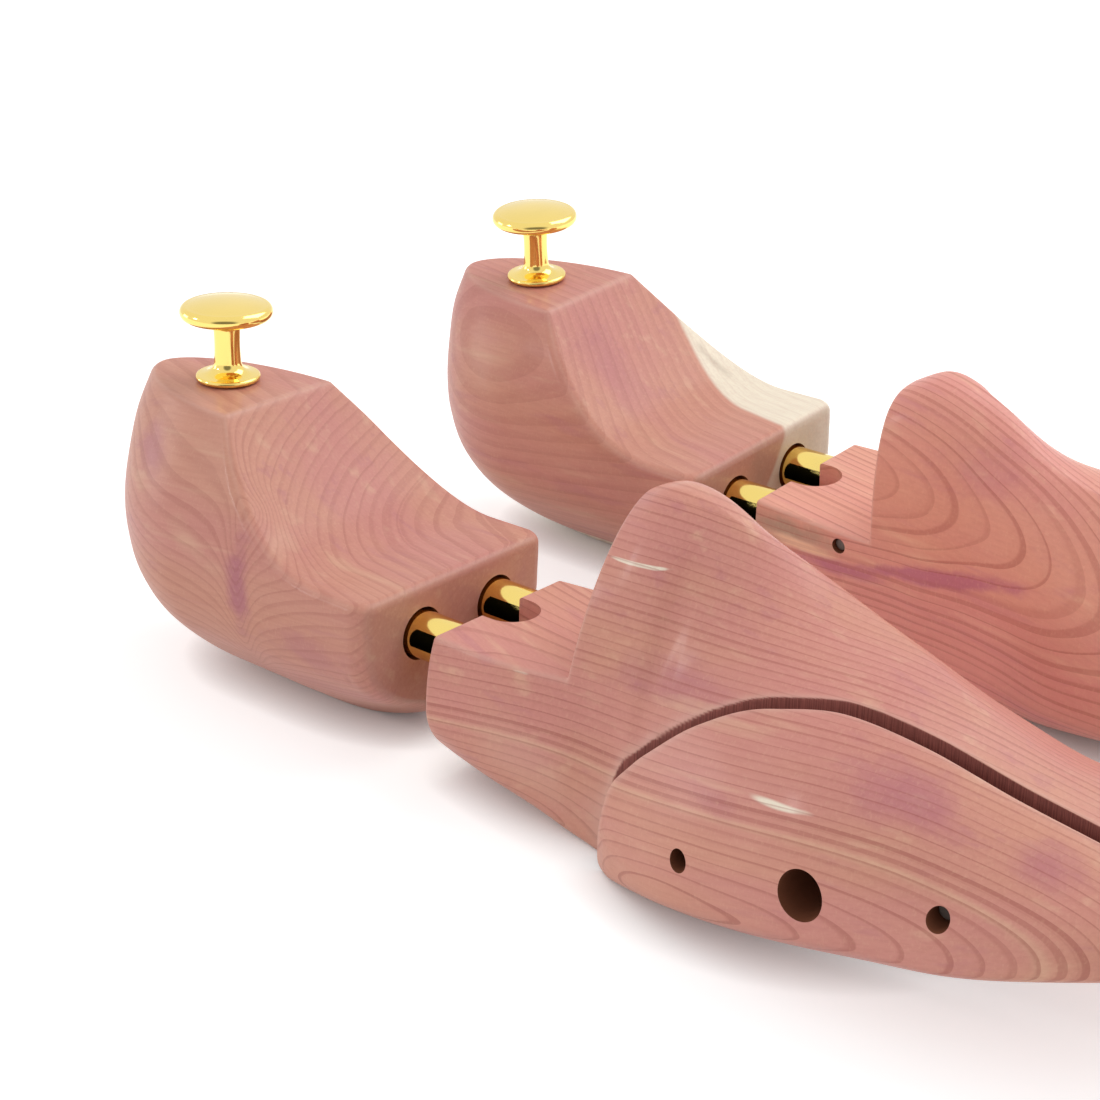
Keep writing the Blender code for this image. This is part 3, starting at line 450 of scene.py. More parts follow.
def mesh_volume(mesh):
    """Six times the volume that a mesh's faces enclose, positive where they point outwards."""
    mesh.calc_loop_triangles()
    corners = np.zeros(len(mesh.loop_triangles) * 3, np.int32)
    mesh.loop_triangles.foreach_get("vertices", corners)
    points = np.zeros(len(mesh.vertices) * 3)
    mesh.vertices.foreach_get("co", points)
    a, b, c = points.reshape(-1, 3)[corners.reshape(-1, 3)].transpose(1, 0, 2)
    return float((a * np.cross(b, c)).sum())


def tidy_shading(mesh, angle=35.0):
    """Smooth shading with sharp edges where faces meet at more than an angle, in degrees."""
    mesh.shade_smooth()
    mesh.set_sharp_from_angle(angle=math.radians(angle))


def direction_frame(direction):
    """Three columns: two directions across the given one, and that one."""
    axis = np.asarray(direction, float) / np.linalg.norm(direction)
    side = np.cross(axis, (0, 0, 1) if abs(axis[2]) < 0.9 else (0, 1, 0))
    side /= np.linalg.norm(side)
    return np.stack([side, np.cross(axis, side), axis], axis=1)


def turned(name, profile, place, direction, hand, steps=72, ring=False):
    """Surface of revolution: (radius, height) pairs carried round the axis (r cos a, r sin a, h)."""
    profile = np.asarray(profile, float)
    if ring:
        profile = np.vstack([profile, profile[:1]])
    angles = np.linspace(0, 2 * math.pi, steps, endpoint=False)
    local = np.stack([profile[:, :1] * np.cos(angles), profile[:, :1] * np.sin(angles),
                      np.repeat(profile[:, 1:], steps, 1)], axis=2)
    grid = placed(local @ direction_frame(direction).T + np.asarray(place), hand)
    if not ring:
        return grid_mesh(name, grid)
    mesh = grid_mesh(name, grid, poles=False)
    return welded(mesh)


def welded(mesh):
    """A mesh with points that lie together made one."""
    work = bmesh.new()
    work.from_mesh(mesh)
    bmesh.ops.remove_doubles(work, verts=work.verts, dist=1e-7)
    work.to_mesh(mesh)
    work.free()
    return mesh


def rod(radius, low, high, edge=0.0):
    """Profile of a round bar with its two rims chamfered."""
    return [(radius - edge, high), (radius, high - edge), (radius, low + edge), (radius - edge, low)]


def tube(inner, outer, low, high, edge):
    """Profile of a ring with its outer rims chamfered."""
    return [(inner, high), (outer - edge, high), (outer, high - edge), (outer, low + edge), (outer - edge, low),
            (inner, low)]


def wire_coil(name, radius, wire, turns, low, high, place, direction, hand):
    """A wire along a helix: a circle of the wire's radius carried along (R cos a, R sin a, pitch)."""
    low, high = low + wire + SEAT_GAP, high - wire - SEAT_GAP
    a = np.linspace(0, 2 * math.pi * turns, 36 * turns)[:, None]
    b = np.linspace(0, 2 * math.pi, 12, endpoint=False)[None, :]
    rise = (high - low) / (2 * math.pi * turns)
    tilt = math.atan2(rise, radius)
    out, up = wire * np.cos(b), wire * np.sin(b)
    r = radius + out
    x = r * np.cos(a) + up * math.sin(tilt) * np.sin(a)
    y = r * np.sin(a) - up * math.sin(tilt) * np.cos(a)
    z = low + rise * a + up * math.cos(tilt)
    local = np.stack([x, y, z], axis=2)
    return grid_mesh(name, placed(local @ direction_frame(direction).T + np.asarray(place), hand))


def set_piece(name, mesh, body, nodes, material, angle=35.0):
    """Link a finished mesh as a piece that rides on a body and stands for its CAD nodes."""
    tidy_shading(mesh, angle)
    mesh.materials.clear()
    mesh.materials.append(material)
    obj = bpy.data.objects.new(name, mesh)
    bpy.context.scene.collection.objects.link(obj)
    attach(obj, body)
    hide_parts(*nodes)
    return obj


def drilled(mesh, cutters, name):
    """A mesh with holes: the cutters are taken away one after another, each by a Boolean modifier."""
    obj = bpy.data.objects.new(name, mesh)
    scene = bpy.context.scene
    scene.collection.objects.link(obj)
    tools = []
    for i, cutter in enumerate(cutters):
        tool = bpy.data.objects.new(f"{name}_cutter_{i}", cutter)
        scene.collection.objects.link(tool)
        tools.append(tool)
        modifier = obj.modifiers.new(tool.name, "BOOLEAN")
        modifier.operation = "DIFFERENCE"
        modifier.solver = "MANIFOLD"
        modifier.object = tool
    bpy.context.view_layer.update()
    result = bpy.data.meshes.new_from_object(obj.evaluated_get(bpy.context.evaluated_depsgraph_get()))
    for item in [obj, *tools]:
        bpy.data.objects.remove(item, do_unlink=True)
    if len(result.polygons) < len(mesh.polygons) // 2:
        raise RuntimeError(f"the holes of {name} left too little of it")
    return result


def mark(mesh, name, values, domain="POINT"):
    """Keep one number for each point or face of a mesh, for its material."""
    attribute = mesh.attributes.new(name, "FLOAT", domain)
    attribute.data.foreach_set("value", np.asarray(values, np.float32))


def mark_wood(mesh, hand, holes, marks, moved=0.0):
    """Marks for the wood's material: edges and sawn faces by point, walls of holes by face.

    A hole is its place, direction, radius, and lowest and highest point along the direction. A face lies on
    its wall or floor where the face's centre is no further from the axis than the radius.
    """
    points = own_points(mesh, hand) + moved
    edge, sawn = marks(*points.T)
    mark(mesh, "edge", edge)
    mark(mesh, "sawn", sawn)
    centres = np.zeros(len(mesh.polygons) * 3)
    mesh.polygons.foreach_get("center", centres)
    centres = into_own_axes(centres.reshape(-1, 3), hand)
    bored = np.zeros(len(centres))
    for place, direction, radius, low, high in holes:
        away = centres - np.asarray(place)
        along = away @ np.asarray(direction)
        off = np.linalg.norm(away - along[:, None] * np.asarray(direction), axis=1)
        bored[(off < radius + 0.004 * MM) & (along > low - 0.01 * MM) & (along < high + 0.01 * MM)] = 1
    mark(mesh, "bored", bored, "FACE")


def own_points(mesh, hand):
    """A placed mesh's points, back in its tree's own axes."""
    points = np.zeros(len(mesh.vertices) * 3)
    mesh.vertices.foreach_get("co", points)
    return into_own_axes(points.reshape(-1, 3), hand)


def into_own_axes(points, hand):
    """The way back from placed()."""
    points = points - placed(np.zeros(3), hand)
    cos, sin = math.cos(hand * LEAN), math.sin(hand * LEAN)
    y = points[:, 1] * cos - points[:, 2] * sin
    z = points[:, 1] * sin + points[:, 2] * cos
    return np.stack([points[:, 0], y * hand, z], axis=1)


# Pieces

TUBE_PLACES = {"outer": -TUBE_SPACING / 2, "inner": TUBE_SPACING / 2}
CROSS_PIN_HOLE = ((CROSS_PIN_X, 0, CROSS_PIN_Z), (0, 1, 0), CROSS_PIN_RADIUS + SEAT_GAP, -CROSS_PIN_END - SEAT_GAP,
                  FAR)


def split_line(x):
    """Sideways place of the split's forefoot face at a given x."""
    return SPLIT_START[1] + (x - SPLIT_START[0]) * math.tan(SPLIT_ANGLE)


def split_point(x, z):
    """A point of the split's forefoot face at a given x and height."""
    return np.array((x, split_line(x), z))


SPLIT_AXIS = np.array((-math.sin(SPLIT_ANGLE), math.cos(SPLIT_ANGLE), 0))


def eased(start, end, count):
    """Places from start to end, closer together near the end."""
    return start + (end - start) * np.sin(np.linspace(0, math.pi / 2, count))


def rounding(place, radius, count):
    """Places that step through a rounded edge, away from a flat face at place."""
    return place + radius * (1 - np.cos(np.linspace(0.04, math.pi / 2, count)))


def forefoot_mesh(tree, hand):
    """Forefoot's surface: rings along the neck, out over the step wall, and on to the toe."""
    hair = 0.002 * MM
    neck = np.concatenate([rounding(HEEL_TO_NECK, NECK_END_EDGE, 7), np.linspace(12.3, 41.5, 40) * MM,
                           NECK_END - np.array((1.0, 0.6, 0.3, 0.1)) * MM, [NECK_END - hair]])
    body = np.concatenate([[NECK_END + hair], rounding(NECK_END, 1.3 * MM, 9)[1:], np.arange(44.9, 50.5, 0.8) * MM,
                           np.arange(50.5, 66.0, 0.3) * MM, np.arange(66.0, 150.0, 0.8) * MM,
                           eased(150 * MM, TOE_END - hair, 60)])
    x = np.concatenate([neck, body])
    sizes = forefoot_sizes(x)
    edge = np.maximum(-sizes["outer"], split_line(x))
    blend = np.clip((x - 100 * MM) / (30 * MM), 0, 1)
    toe = sizes["level"] + (sizes["up"] - sizes["down"]) / 2
    level = -8 * MM * (1 - blend) + toe * blend
    middle = np.stack([(edge + sizes["inner"]) / 2 + sizes["swing"], level], axis=1)
    reach = np.stack([(sizes["inner"] - edge) / 2 + 0.1 * MM, (sizes["up"] + sizes["down"]) / 2], axis=1)
    grid = ring_surface(forefoot_solid, x, sizes, middle, reach, 288)
    low, high = grid[len(neck) - 1], grid[len(neck)]
    share = np.linspace(0, 1, 12)[1:-1, None, None]
    grid = np.concatenate([grid[:len(neck)], low + (high - low) * share, grid[len(neck):]])
    mesh = grid_mesh(tree + "_forefoot_block", placed(grid, hand))
    holes = [((0, y, 0), (1, 0, 0), TUBE_RADIUS + PRESS_GAP, 0, HEEL_TO_NECK + TUBE_IN_NECK + SEAT_GAP)
             for y in TUBE_PLACES.values()]
    holes.append(CROSS_PIN_HOLE)
    holes += [(split_point(*pin), SPLIT_AXIS, PIN_RADIUS + SEAT_GAP, -PROUD, PIN_IN_BODY + SEAT_GAP)
              for pin in PIN_PLACES.values()]
    cutters = [hole_cutter(hole, hand) for hole in holes] + [notch_cutter(hand)]
    place = split_point(*SCREW_PLACE)
    narrow, wide = SCREW_RADIUS + SEAT_GAP, SCREW_HOLE_RADIUS
    pocket = [(narrow, SCREW_IN_BODY + SEAT_GAP), (narrow, SIDE_SPRING_SEAT), (wide, SIDE_SPRING_SEAT),
              (wide, -PROUD)]
    cutters.append(turned("pocket", pocket, place, SPLIT_AXIS, hand))
    mesh = drilled(mesh, cutters, tree + "_forefoot_block")
    holes.append((place, SPLIT_AXIS, SCREW_HOLE_RADIUS, -PROUD, SCREW_IN_BODY + SEAT_GAP))
    mark_wood(mesh, hand, holes, lambda x, y, z: face_marks(forefoot_faces(x, y, z, forefoot_sizes(x)), 2))
    return mesh


def hole_cutter(hole, hand, steps=48):
    """A bar that cuts a hole, given as its place, direction, radius, and lowest and highest point."""
    place, direction, radius, low, high = hole
    return turned("hole", rod(radius, low, high), place, direction, hand, steps)


def notch_cutter(hand):
    """Slot with a round end, right through the neck's height: its outline carried up."""
    centre = HEEL_TO_NECK + NOTCH_DEPTH - NOTCH_RADIUS
    angles = np.linspace(-math.pi / 2, math.pi / 2, 49)
    x = np.concatenate([[HEEL_TO_NECK - 5 * MM], centre + NOTCH_RADIUS * np.cos(angles), [HEEL_TO_NECK - 5 * MM]])
    y = np.concatenate([[-NOTCH_RADIUS], NOTCH_RADIUS * np.sin(angles), [NOTCH_RADIUS]])
    rings = [np.stack([x, y, np.full_like(x, z)], axis=1) for z in (-FAR, FAR)]
    return grid_mesh("notch", placed(np.stack(rings), hand))


def side_frames(x):
    """Middle and half widths of the side piece's sections, worked out from its flat face.

    The face's ends are where a line just inside it leaves the wood; the skin is found half-way between them.
    """
    sizes = {key: value[:, None] for key, value in forefoot_sizes(x).items()}
    face = (split_line(x) - SAW_CUT / math.cos(SPLIT_ANGLE))[:, None]
    z = np.arange(-27.0, 46.0, 0.1) * MM
    skin, table, _ = side_faces(x[:, None], face - 0.02 * MM, z, sizes)
    inside = np.maximum(skin, table) < 0
    low, high = np.where(inside, z, 9).min(1), np.where(inside, z, -9).max(1)
    level = np.where(inside.any(1), (low + high) / 2, 0)[:, None]
    near, far = face.copy(), face - 45 * MM
    for _ in range(24):
        y = (near + far) / 2
        inside = side_faces(x[:, None], y, level, sizes)[0] < 0
        near, far = np.where(inside, y, near), np.where(inside, far, y)
    return np.hstack([(face + near) / 2, level]), np.stack([(face - near)[:, 0] / 2, (high - low) / 2], axis=1)


def side_mesh(tree, hand):
    """Side piece's surface: rings between its two thin ends, moved out by its spring."""
    probe = np.arange(48.0, 185.9, 0.1) * MM
    _, reach = side_frames(probe)
    solid = probe[reach[:, 0] > 0.1 * MM]
    start, end = solid[0], solid[-1]
    mean = (start + end) / 2
    x = np.concatenate([eased(mean, start, 130)[:0:-1], eased(mean, end, 110)])
    sizes = forefoot_sizes(x)
    middle, reach = side_frames(x)
    grid = ring_surface(side_solid, x, sizes, middle, reach, 200)
    grid = grid - SPLIT_AXIS * SIDE_OPEN
    mesh = grid_mesh(tree + "_side_piece", placed(grid, hand))
    place = split_point(*SCREW_PLACE)
    shoulder, narrow, wide = -SPLIT_GAP - SHOULDER, SCREW_RADIUS + RUN_GAP, SCREW_HOLE_RADIUS
    screw_hole = [(narrow, PROUD), (narrow, shoulder), (wide, shoulder), (wide, -FAR)]
    cutters = [turned("screw_hole", screw_hole, place, SPLIT_AXIS, hand)]
    holes = [(split_point(*pin), SPLIT_AXIS, PIN_RADIUS + RUN_GAP, -FAR, 0.5 * MM) for pin in PIN_PLACES.values()]
    cutters += [hole_cutter(hole, hand) for hole in holes]
    mesh = drilled(mesh, cutters, tree + "_side_piece")
    holes.append((place, SPLIT_AXIS, SCREW_HOLE_RADIUS, -FAR, PROUD))
    moved = SPLIT_AXIS * SIDE_OPEN
    mark_wood(mesh, hand, holes, lambda x, y, z: face_marks(side_faces(x, y, z, forefoot_sizes(x)), 2), moved)
    return mesh


def heel_mesh(tree, hand):
    """Heel block's surface: rings from the rounded back to the front face."""
    hair = 0.004 * MM
    back = eased(-75 * MM, -HEEL_LENGTH + hair, 60)[::-1]
    edge = -HEEL_TOP_FRONT + np.array((-0.6, -0.4, -0.25, -0.1, 0.05, 0.2, 0.35, 0.5)) * MM
    x = np.concatenate([back, np.arange(-74.2, -52.2, 0.8) * MM, edge, np.arange(-50.4, -4.8, 0.6) * MM,
                        -rounding(0, HEEL_FRONT_EDGE, 20)[::-1]])
    middle, reach, there = section_frames(heel_solid, x, (-32 * MM, -30 * MM), (32 * MM, 37 * MM))
    if not there.all():
        x, middle, reach = x[there], middle[there], reach[there]
    grid = ring_surface(heel_solid, x, {}, middle, reach, 256)
    mesh = grid_mesh(tree + "_heel_block", placed(grid, hand))
    wide, narrow, floor = TUBE_RADIUS + SLIDE_GAP, ROD_RADIUS + SEAT_GAP, -HEEL_BORE_DEPTH
    cutters, holes = [], []
    end = floor - ROD_IN_WOOD - SEAT_GAP
    for y in TUBE_PLACES.values():
        bore = [(wide, 5 * MM), (wide, floor), (narrow, floor), (narrow, end)]
        cutters.append(turned("bore", bore, (0, y, 0), (1, 0, 0), hand))
        holes.append(((0, y, 0), (1, 0, 0), wide, end, -0.05 * MM))
    stud = ((-KNOB_BACK, 0, HEEL_TOP), (0, 0, 1), STUD_RADIUS + SEAT_GAP, -STUD_IN_WOOD - SEAT_GAP, 5 * MM)
    mesh = drilled(mesh, [*cutters, hole_cutter(stud, hand)], tree + "_heel_block")
    mark_wood(mesh, hand, [*holes, stud], lambda x, y, z: face_marks(heel_faces(x, y, z)))
    return mesh


def knob_profile():
    """Mushroom knob: shallow dome, round rim, dished underside, waisted stem and a coved flange."""
    top, stem, flange = KNOB_HEIGHT - 0.05 * MM, KNOB_STEM_RADIUS, KNOB_FLANGE_RADIUS
    crown, rim, rim_start = 0.9 * MM, 1.55 * MM, 70
    inset = KNOB_RADIUS - rim
    r = np.linspace(0.02 * MM, inset, 24)
    dome = np.stack([r, top - crown * (r / inset) ** 2.2], axis=1)
    edge = arc((inset, top - crown - rim * math.sin(math.radians(rim_start))), rim, rim_start, -75, 22)
    neck, foot = top - KNOB_HEAD - crown, 4.3 * MM
    underside = bend(edge[-1], (stem, top - KNOB_HEAD + 0.5 * MM), (stem, neck))
    share = np.linspace(0, 1, 10)[1:, None]
    waist = np.concatenate([stem - 0.12 * MM * np.sin(share * math.pi), neck + (foot - neck) * share], axis=1)
    cove = bend((stem, foot), (stem, 1.7 * MM), (flange - 0.6 * MM, 1.3 * MM))
    base = arc((flange - 0.65 * MM, 0.66 * MM), 0.65 * MM, 75, -70, 9)
    bore = STUD_RADIUS + SEAT_GAP
    socket = np.array(((flange - 0.9 * MM, 0), (bore, 0), (bore, STUD_IN_KNOB + SEAT_GAP)))
    return np.concatenate([dome, edge, underside, waist, cove, base, socket])


def arc(centre, radius, start, end, count):
    """Points of a profile on a circle, between two angles in degrees."""
    a = np.radians(np.linspace(start, end, count))
    return np.stack([centre[0] + radius * np.cos(a), centre[1] + radius * np.sin(a)], axis=1)


def bend(start, pull, end):
    """Points of a profile on a quadratic curve, without its start."""
    t = np.linspace(0, 1, 16)[1:, None]
    start, pull, end = np.array(start), np.array(pull), np.array(end)
    return (1 - t) ** 2 * start + 2 * t * (1 - t) * pull + t * t * end


# Finishes

class Socket:
    """A shader socket that can be used in sums: an expression on it adds its Math nodes."""

    def __init__(self, maker, socket):
        self.maker, self.socket = maker, socket

    def math(self, operation, *values, clamp=False):
        """A Math node on some values, which are sockets or numbers."""
        settings = {"operation": operation, "use_clamp": clamp}
        return self.maker.node("ShaderNodeMath", settings, dict(enumerate(values)))

    def root(self):
        """Square root."""
        return self.math("SQRT", self)

    def part(self):
        """What is left of a value above its whole number."""
        return self.math("FRACT", self)

    def whole(self):
        """The whole number at or under a value."""
        return self.math("FLOOR", self)

    def held(self):
        """The value kept between 0 and 1."""
        return self.math("ADD", self, 0.0, clamp=True)

    def step(self, start, end):
        """A soft step from 0 at start to 1 at end."""
        return self.maker.node("ShaderNodeMapRange", {"interpolation_type": "SMOOTHSTEP"},
                               {"Value": self, "From Min": start, "From Max": end})


for sign, operation in (("add", "ADD"), ("sub", "SUBTRACT"), ("mul", "MULTIPLY"), ("truediv", "DIVIDE")):
    setattr(Socket, f"__{sign}__", lambda a, b, kind=operation: a.math(kind, a, b))
    setattr(Socket, f"__r{sign}__", lambda a, b, kind=operation: a.math(kind, b, a))


class Finish:
    """A material under construction around one Principled shader."""

    def __init__(self, name):
        self.material = bpy.data.materials.new(name)
        self.material.use_nodes = True
        self.tree = self.material.node_tree
        self.tree.nodes.clear()
        self.output = self.tree.nodes.new("ShaderNodeOutputMaterial")

    def node(self, kind, settings=None, inputs=None, output=0):
        """Any node: its settings first, then the values or links of its sockets."""
        made = self.tree.nodes.new(kind)
        for key, value in (settings or {}).items():
            if key == "stops":
                ramp = made.color_ramp
                while len(ramp.elements) < len(value):
                    ramp.elements.new(0.5)
                for element, (place, colour) in zip(ramp.elements, value):
                    element.position, element.color = place, colour
            else:
                setattr(made, key, value)
        for key, value in (inputs or {}).items():
            self.put(made.inputs[key], value)
        return Socket(self, made.outputs[output])

    def put(self, socket, value):
        """Link a socket to another, or give it a value."""
        if isinstance(value, Socket):
            self.tree.links.new(value.socket, socket)
        else:
            socket.default_value = value

    def own_place(self, hand, moved=(0, 0, 0)):
        """Object coordinates brought into the tree's own axes, in millimetres, and moved from there."""
        turn = Matrix.Rotation(LEAN, 3, "X")
        origin = Vector(placed(np.zeros(3), hand) * (1, hand, 1)) / MM
        place = self.node("ShaderNodeTexCoord", output="Object")
        return self.node("ShaderNodeMapping", {}, {"Vector": place, "Scale": (1 / MM, hand / MM, 1 / MM),
                                                   "Rotation": (LEAN, 0, 0),
                                                   "Location": Vector(moved) / MM - turn @ origin})

    def noise(self, place, scale=(1, 1, 1), detail=2.0, roughness=0.5, shift=(0, 0, 0)):
        """Noise between 0 and 1, with scale cycles for each unit of place."""
        place = self.node("ShaderNodeMapping", {}, {"Vector": place, "Scale": scale, "Location": shift})
        return self.node("ShaderNodeTexNoise", {}, {"Vector": place, "Scale": 1.0, "Detail": detail,
                                                    "Roughness": roughness}, "Fac")

    def axes(self, place):
        """The three coordinates of a place."""
        return [self.node("ShaderNodeSeparateXYZ", {}, {"Vector": place}, i) for i in range(3)]

    def blend(self, factor, first, second):
        """Mix of two colours, each a socket or three numbers."""
        made = self.tree.nodes.new("ShaderNodeMix")
        made.data_type = "RGBA"
        self.put(made.inputs[0], factor)
        for socket, value in ((made.inputs[6], first), (made.inputs[7], second)):
            self.put(socket, value if isinstance(value, Socket) else (*value, 1.0))
        return Socket(self, made.outputs[2])

    def bump(self, height, strength, distance):
        """The surface's direction under fine relief."""
        return self.node("ShaderNodeBump", {}, {"Height": height, "Strength": strength, "Distance": distance})

    def principled(self, **inputs):
        """Ends the material in its Principled shader; underscores stand for spaces in socket names."""
        shader = self.tree.nodes.new("ShaderNodeBsdfPrincipled")
        for key, value in inputs.items():
            self.put(shader.inputs[key.replace("_", " ")], value)
        self.tree.links.new(shader.outputs[0], self.output.inputs[0])
        return self.material


# Each board's growth rings and patches, in millimetres in its tree's own axes. The pith is the line through
# (0, pith) that rises by tilt for each millimetre along x, and bends by bow times the square of (x - 90). A ring
# is ring wide and its dark late wood takes up the share line; sway is how far rings wander, first the radius of
# the innermost one, own a number that makes the board's noise its own. depth gives how dark the lines and the
# late wood are, gain a last brightening, painted light on the forefoot blocks. band and sapwood are the radii of
# a pale band and of the sapwood's edge, end the place and strength of a darker colour on the heel's front face,
# partly its end grain's own tone and partly painted shade between the blocks, and fold a dent of the rings beside
# the crease. A patch has a colour's name, its middle, its half sizes, its turn about y in degrees, and its strength.
# A few patches are painted shade or a painted highlight, as noted beside them.
BOARDS = {
    "right_heel": {
        "pith": (36.0, -54.0), "tilt": (-0.05, 0.10), "ring": 1.9, "line": 0.34, "sway": 1.8, "own": 3.1,
        "depth": (0.22, 0.10), "fold": (-36.5, 7.0, 3.6, 5.0, 22.0), "end": (0.0, 0.3),
        "patches": (("violet", (-36, -28, 5), (4.5, 9, 15), 0, 0.85), ("violet", (-70, -20, 24), (10, 9, 6), 25, 0.6),
                    # The pale patch at (-28, -22, 17), on the scoop's side, is a painted highlight.
                    ("violet", (-14, -27, -3), (16, 6, 7), 0, 0.45), ("pale", (-28, -22, 17), (5, 6, 7), 0, 0.4),
                    ("pale", (-50, -25, 10), (14, 6, 4), 20, 0.35), ("line", (-6, -27, -8), (1.5, 1.5, 2.5), 0, 0.35)),
    },
    "right_forefoot": {
        "pith": (-23.83, -41.08), "tilt": (-0.2233, 0.2424), "bow": (0.0013, 0.0007), "ring": 1.7, "line": 0.24,
        "sway": 0.6, "own": 11.7, "depth": (0.48, 0.10), "painted_light_gain": 1.10, "band": 23.2,
        "patches": (("violet", (125, -23, 14), (15, 8, 8), 0, 0.6), ("violet", (151, -20, 10), (10, 7, 5), 0, 0.6),
                    ("violet", (66, -15, 12), (20, 9, 6), -10, 0.45), ("violet", (80, -31, 2), (20, 7, 4), 0, 0.4),
                    ("cream", (100, -32.5, 6.9), (12.5, 5, 0.95), -7, 0.95),
                    ("cream", (50.5, -6, 28.8), (8, 5, 0.5), -4, 0.9), ("cream", (33, -18, 5), (3, 3, 0.5), 0, 0.8)),
    },
    "left_heel": {
        "pith": (53.0, 43.5), "tilt": (0.15, 0.08), "ring": 2.9, "line": 0.45, "sway": 1.8, "own": 23.9,
        "depth": (0.11, 0.12), "sapwood": 70.0, "end": (0.0, 0.5),
        "patches": (("pale", (-66, 22, 20), (17, 12, 12), 0, 0.15), ("violet", (-38, 8, 22), (22, 9, 12), 30, 0.35),
                    # The two patches on the front face, at x of 0 and 1, are painted shade between the blocks; the one
                    # at (-30, -21, 17) is a grey-brown mark of the wood itself.
                    ("stain_and_shade", (-30, -21, 17), (9, 2.2, 6), 25, 0.4), ("stain_and_shade", (0, 2, 3), (3, 5, 11), 0, 0.35),
                    ("stain_and_shade", (1, -14, 1), (3, 12, 13), 0, 0.35)),
    },
    "left_forefoot": {
        "pith": (24.26, 23.03), "tilt": (0.2238, -0.0023), "ring": 1.8, "line": 0.24, "sway": 0.45, "own": 37.3,
        "first": 17.1, "depth": (0.46, 0.10), "painted_light_gain": 1.28,
        "patches": (("violet", (62, 23, 3.6), (38, 8, 2.6), -12, 1.3),
                    ("violet", (36, 21, -2.5), (20, 6, 3.0), -5, 1.1),
                    ("violet", (66, 15, 26), (14, 9, 9), 0, 0.45), ("stain_and_shade", (22, 20, 2), (20, 6, 4.5), 0, 0.8),
                    ("pale", (26, 20, -0.5), (14, 6, 1.8), 0, 1.0)),
    },
}


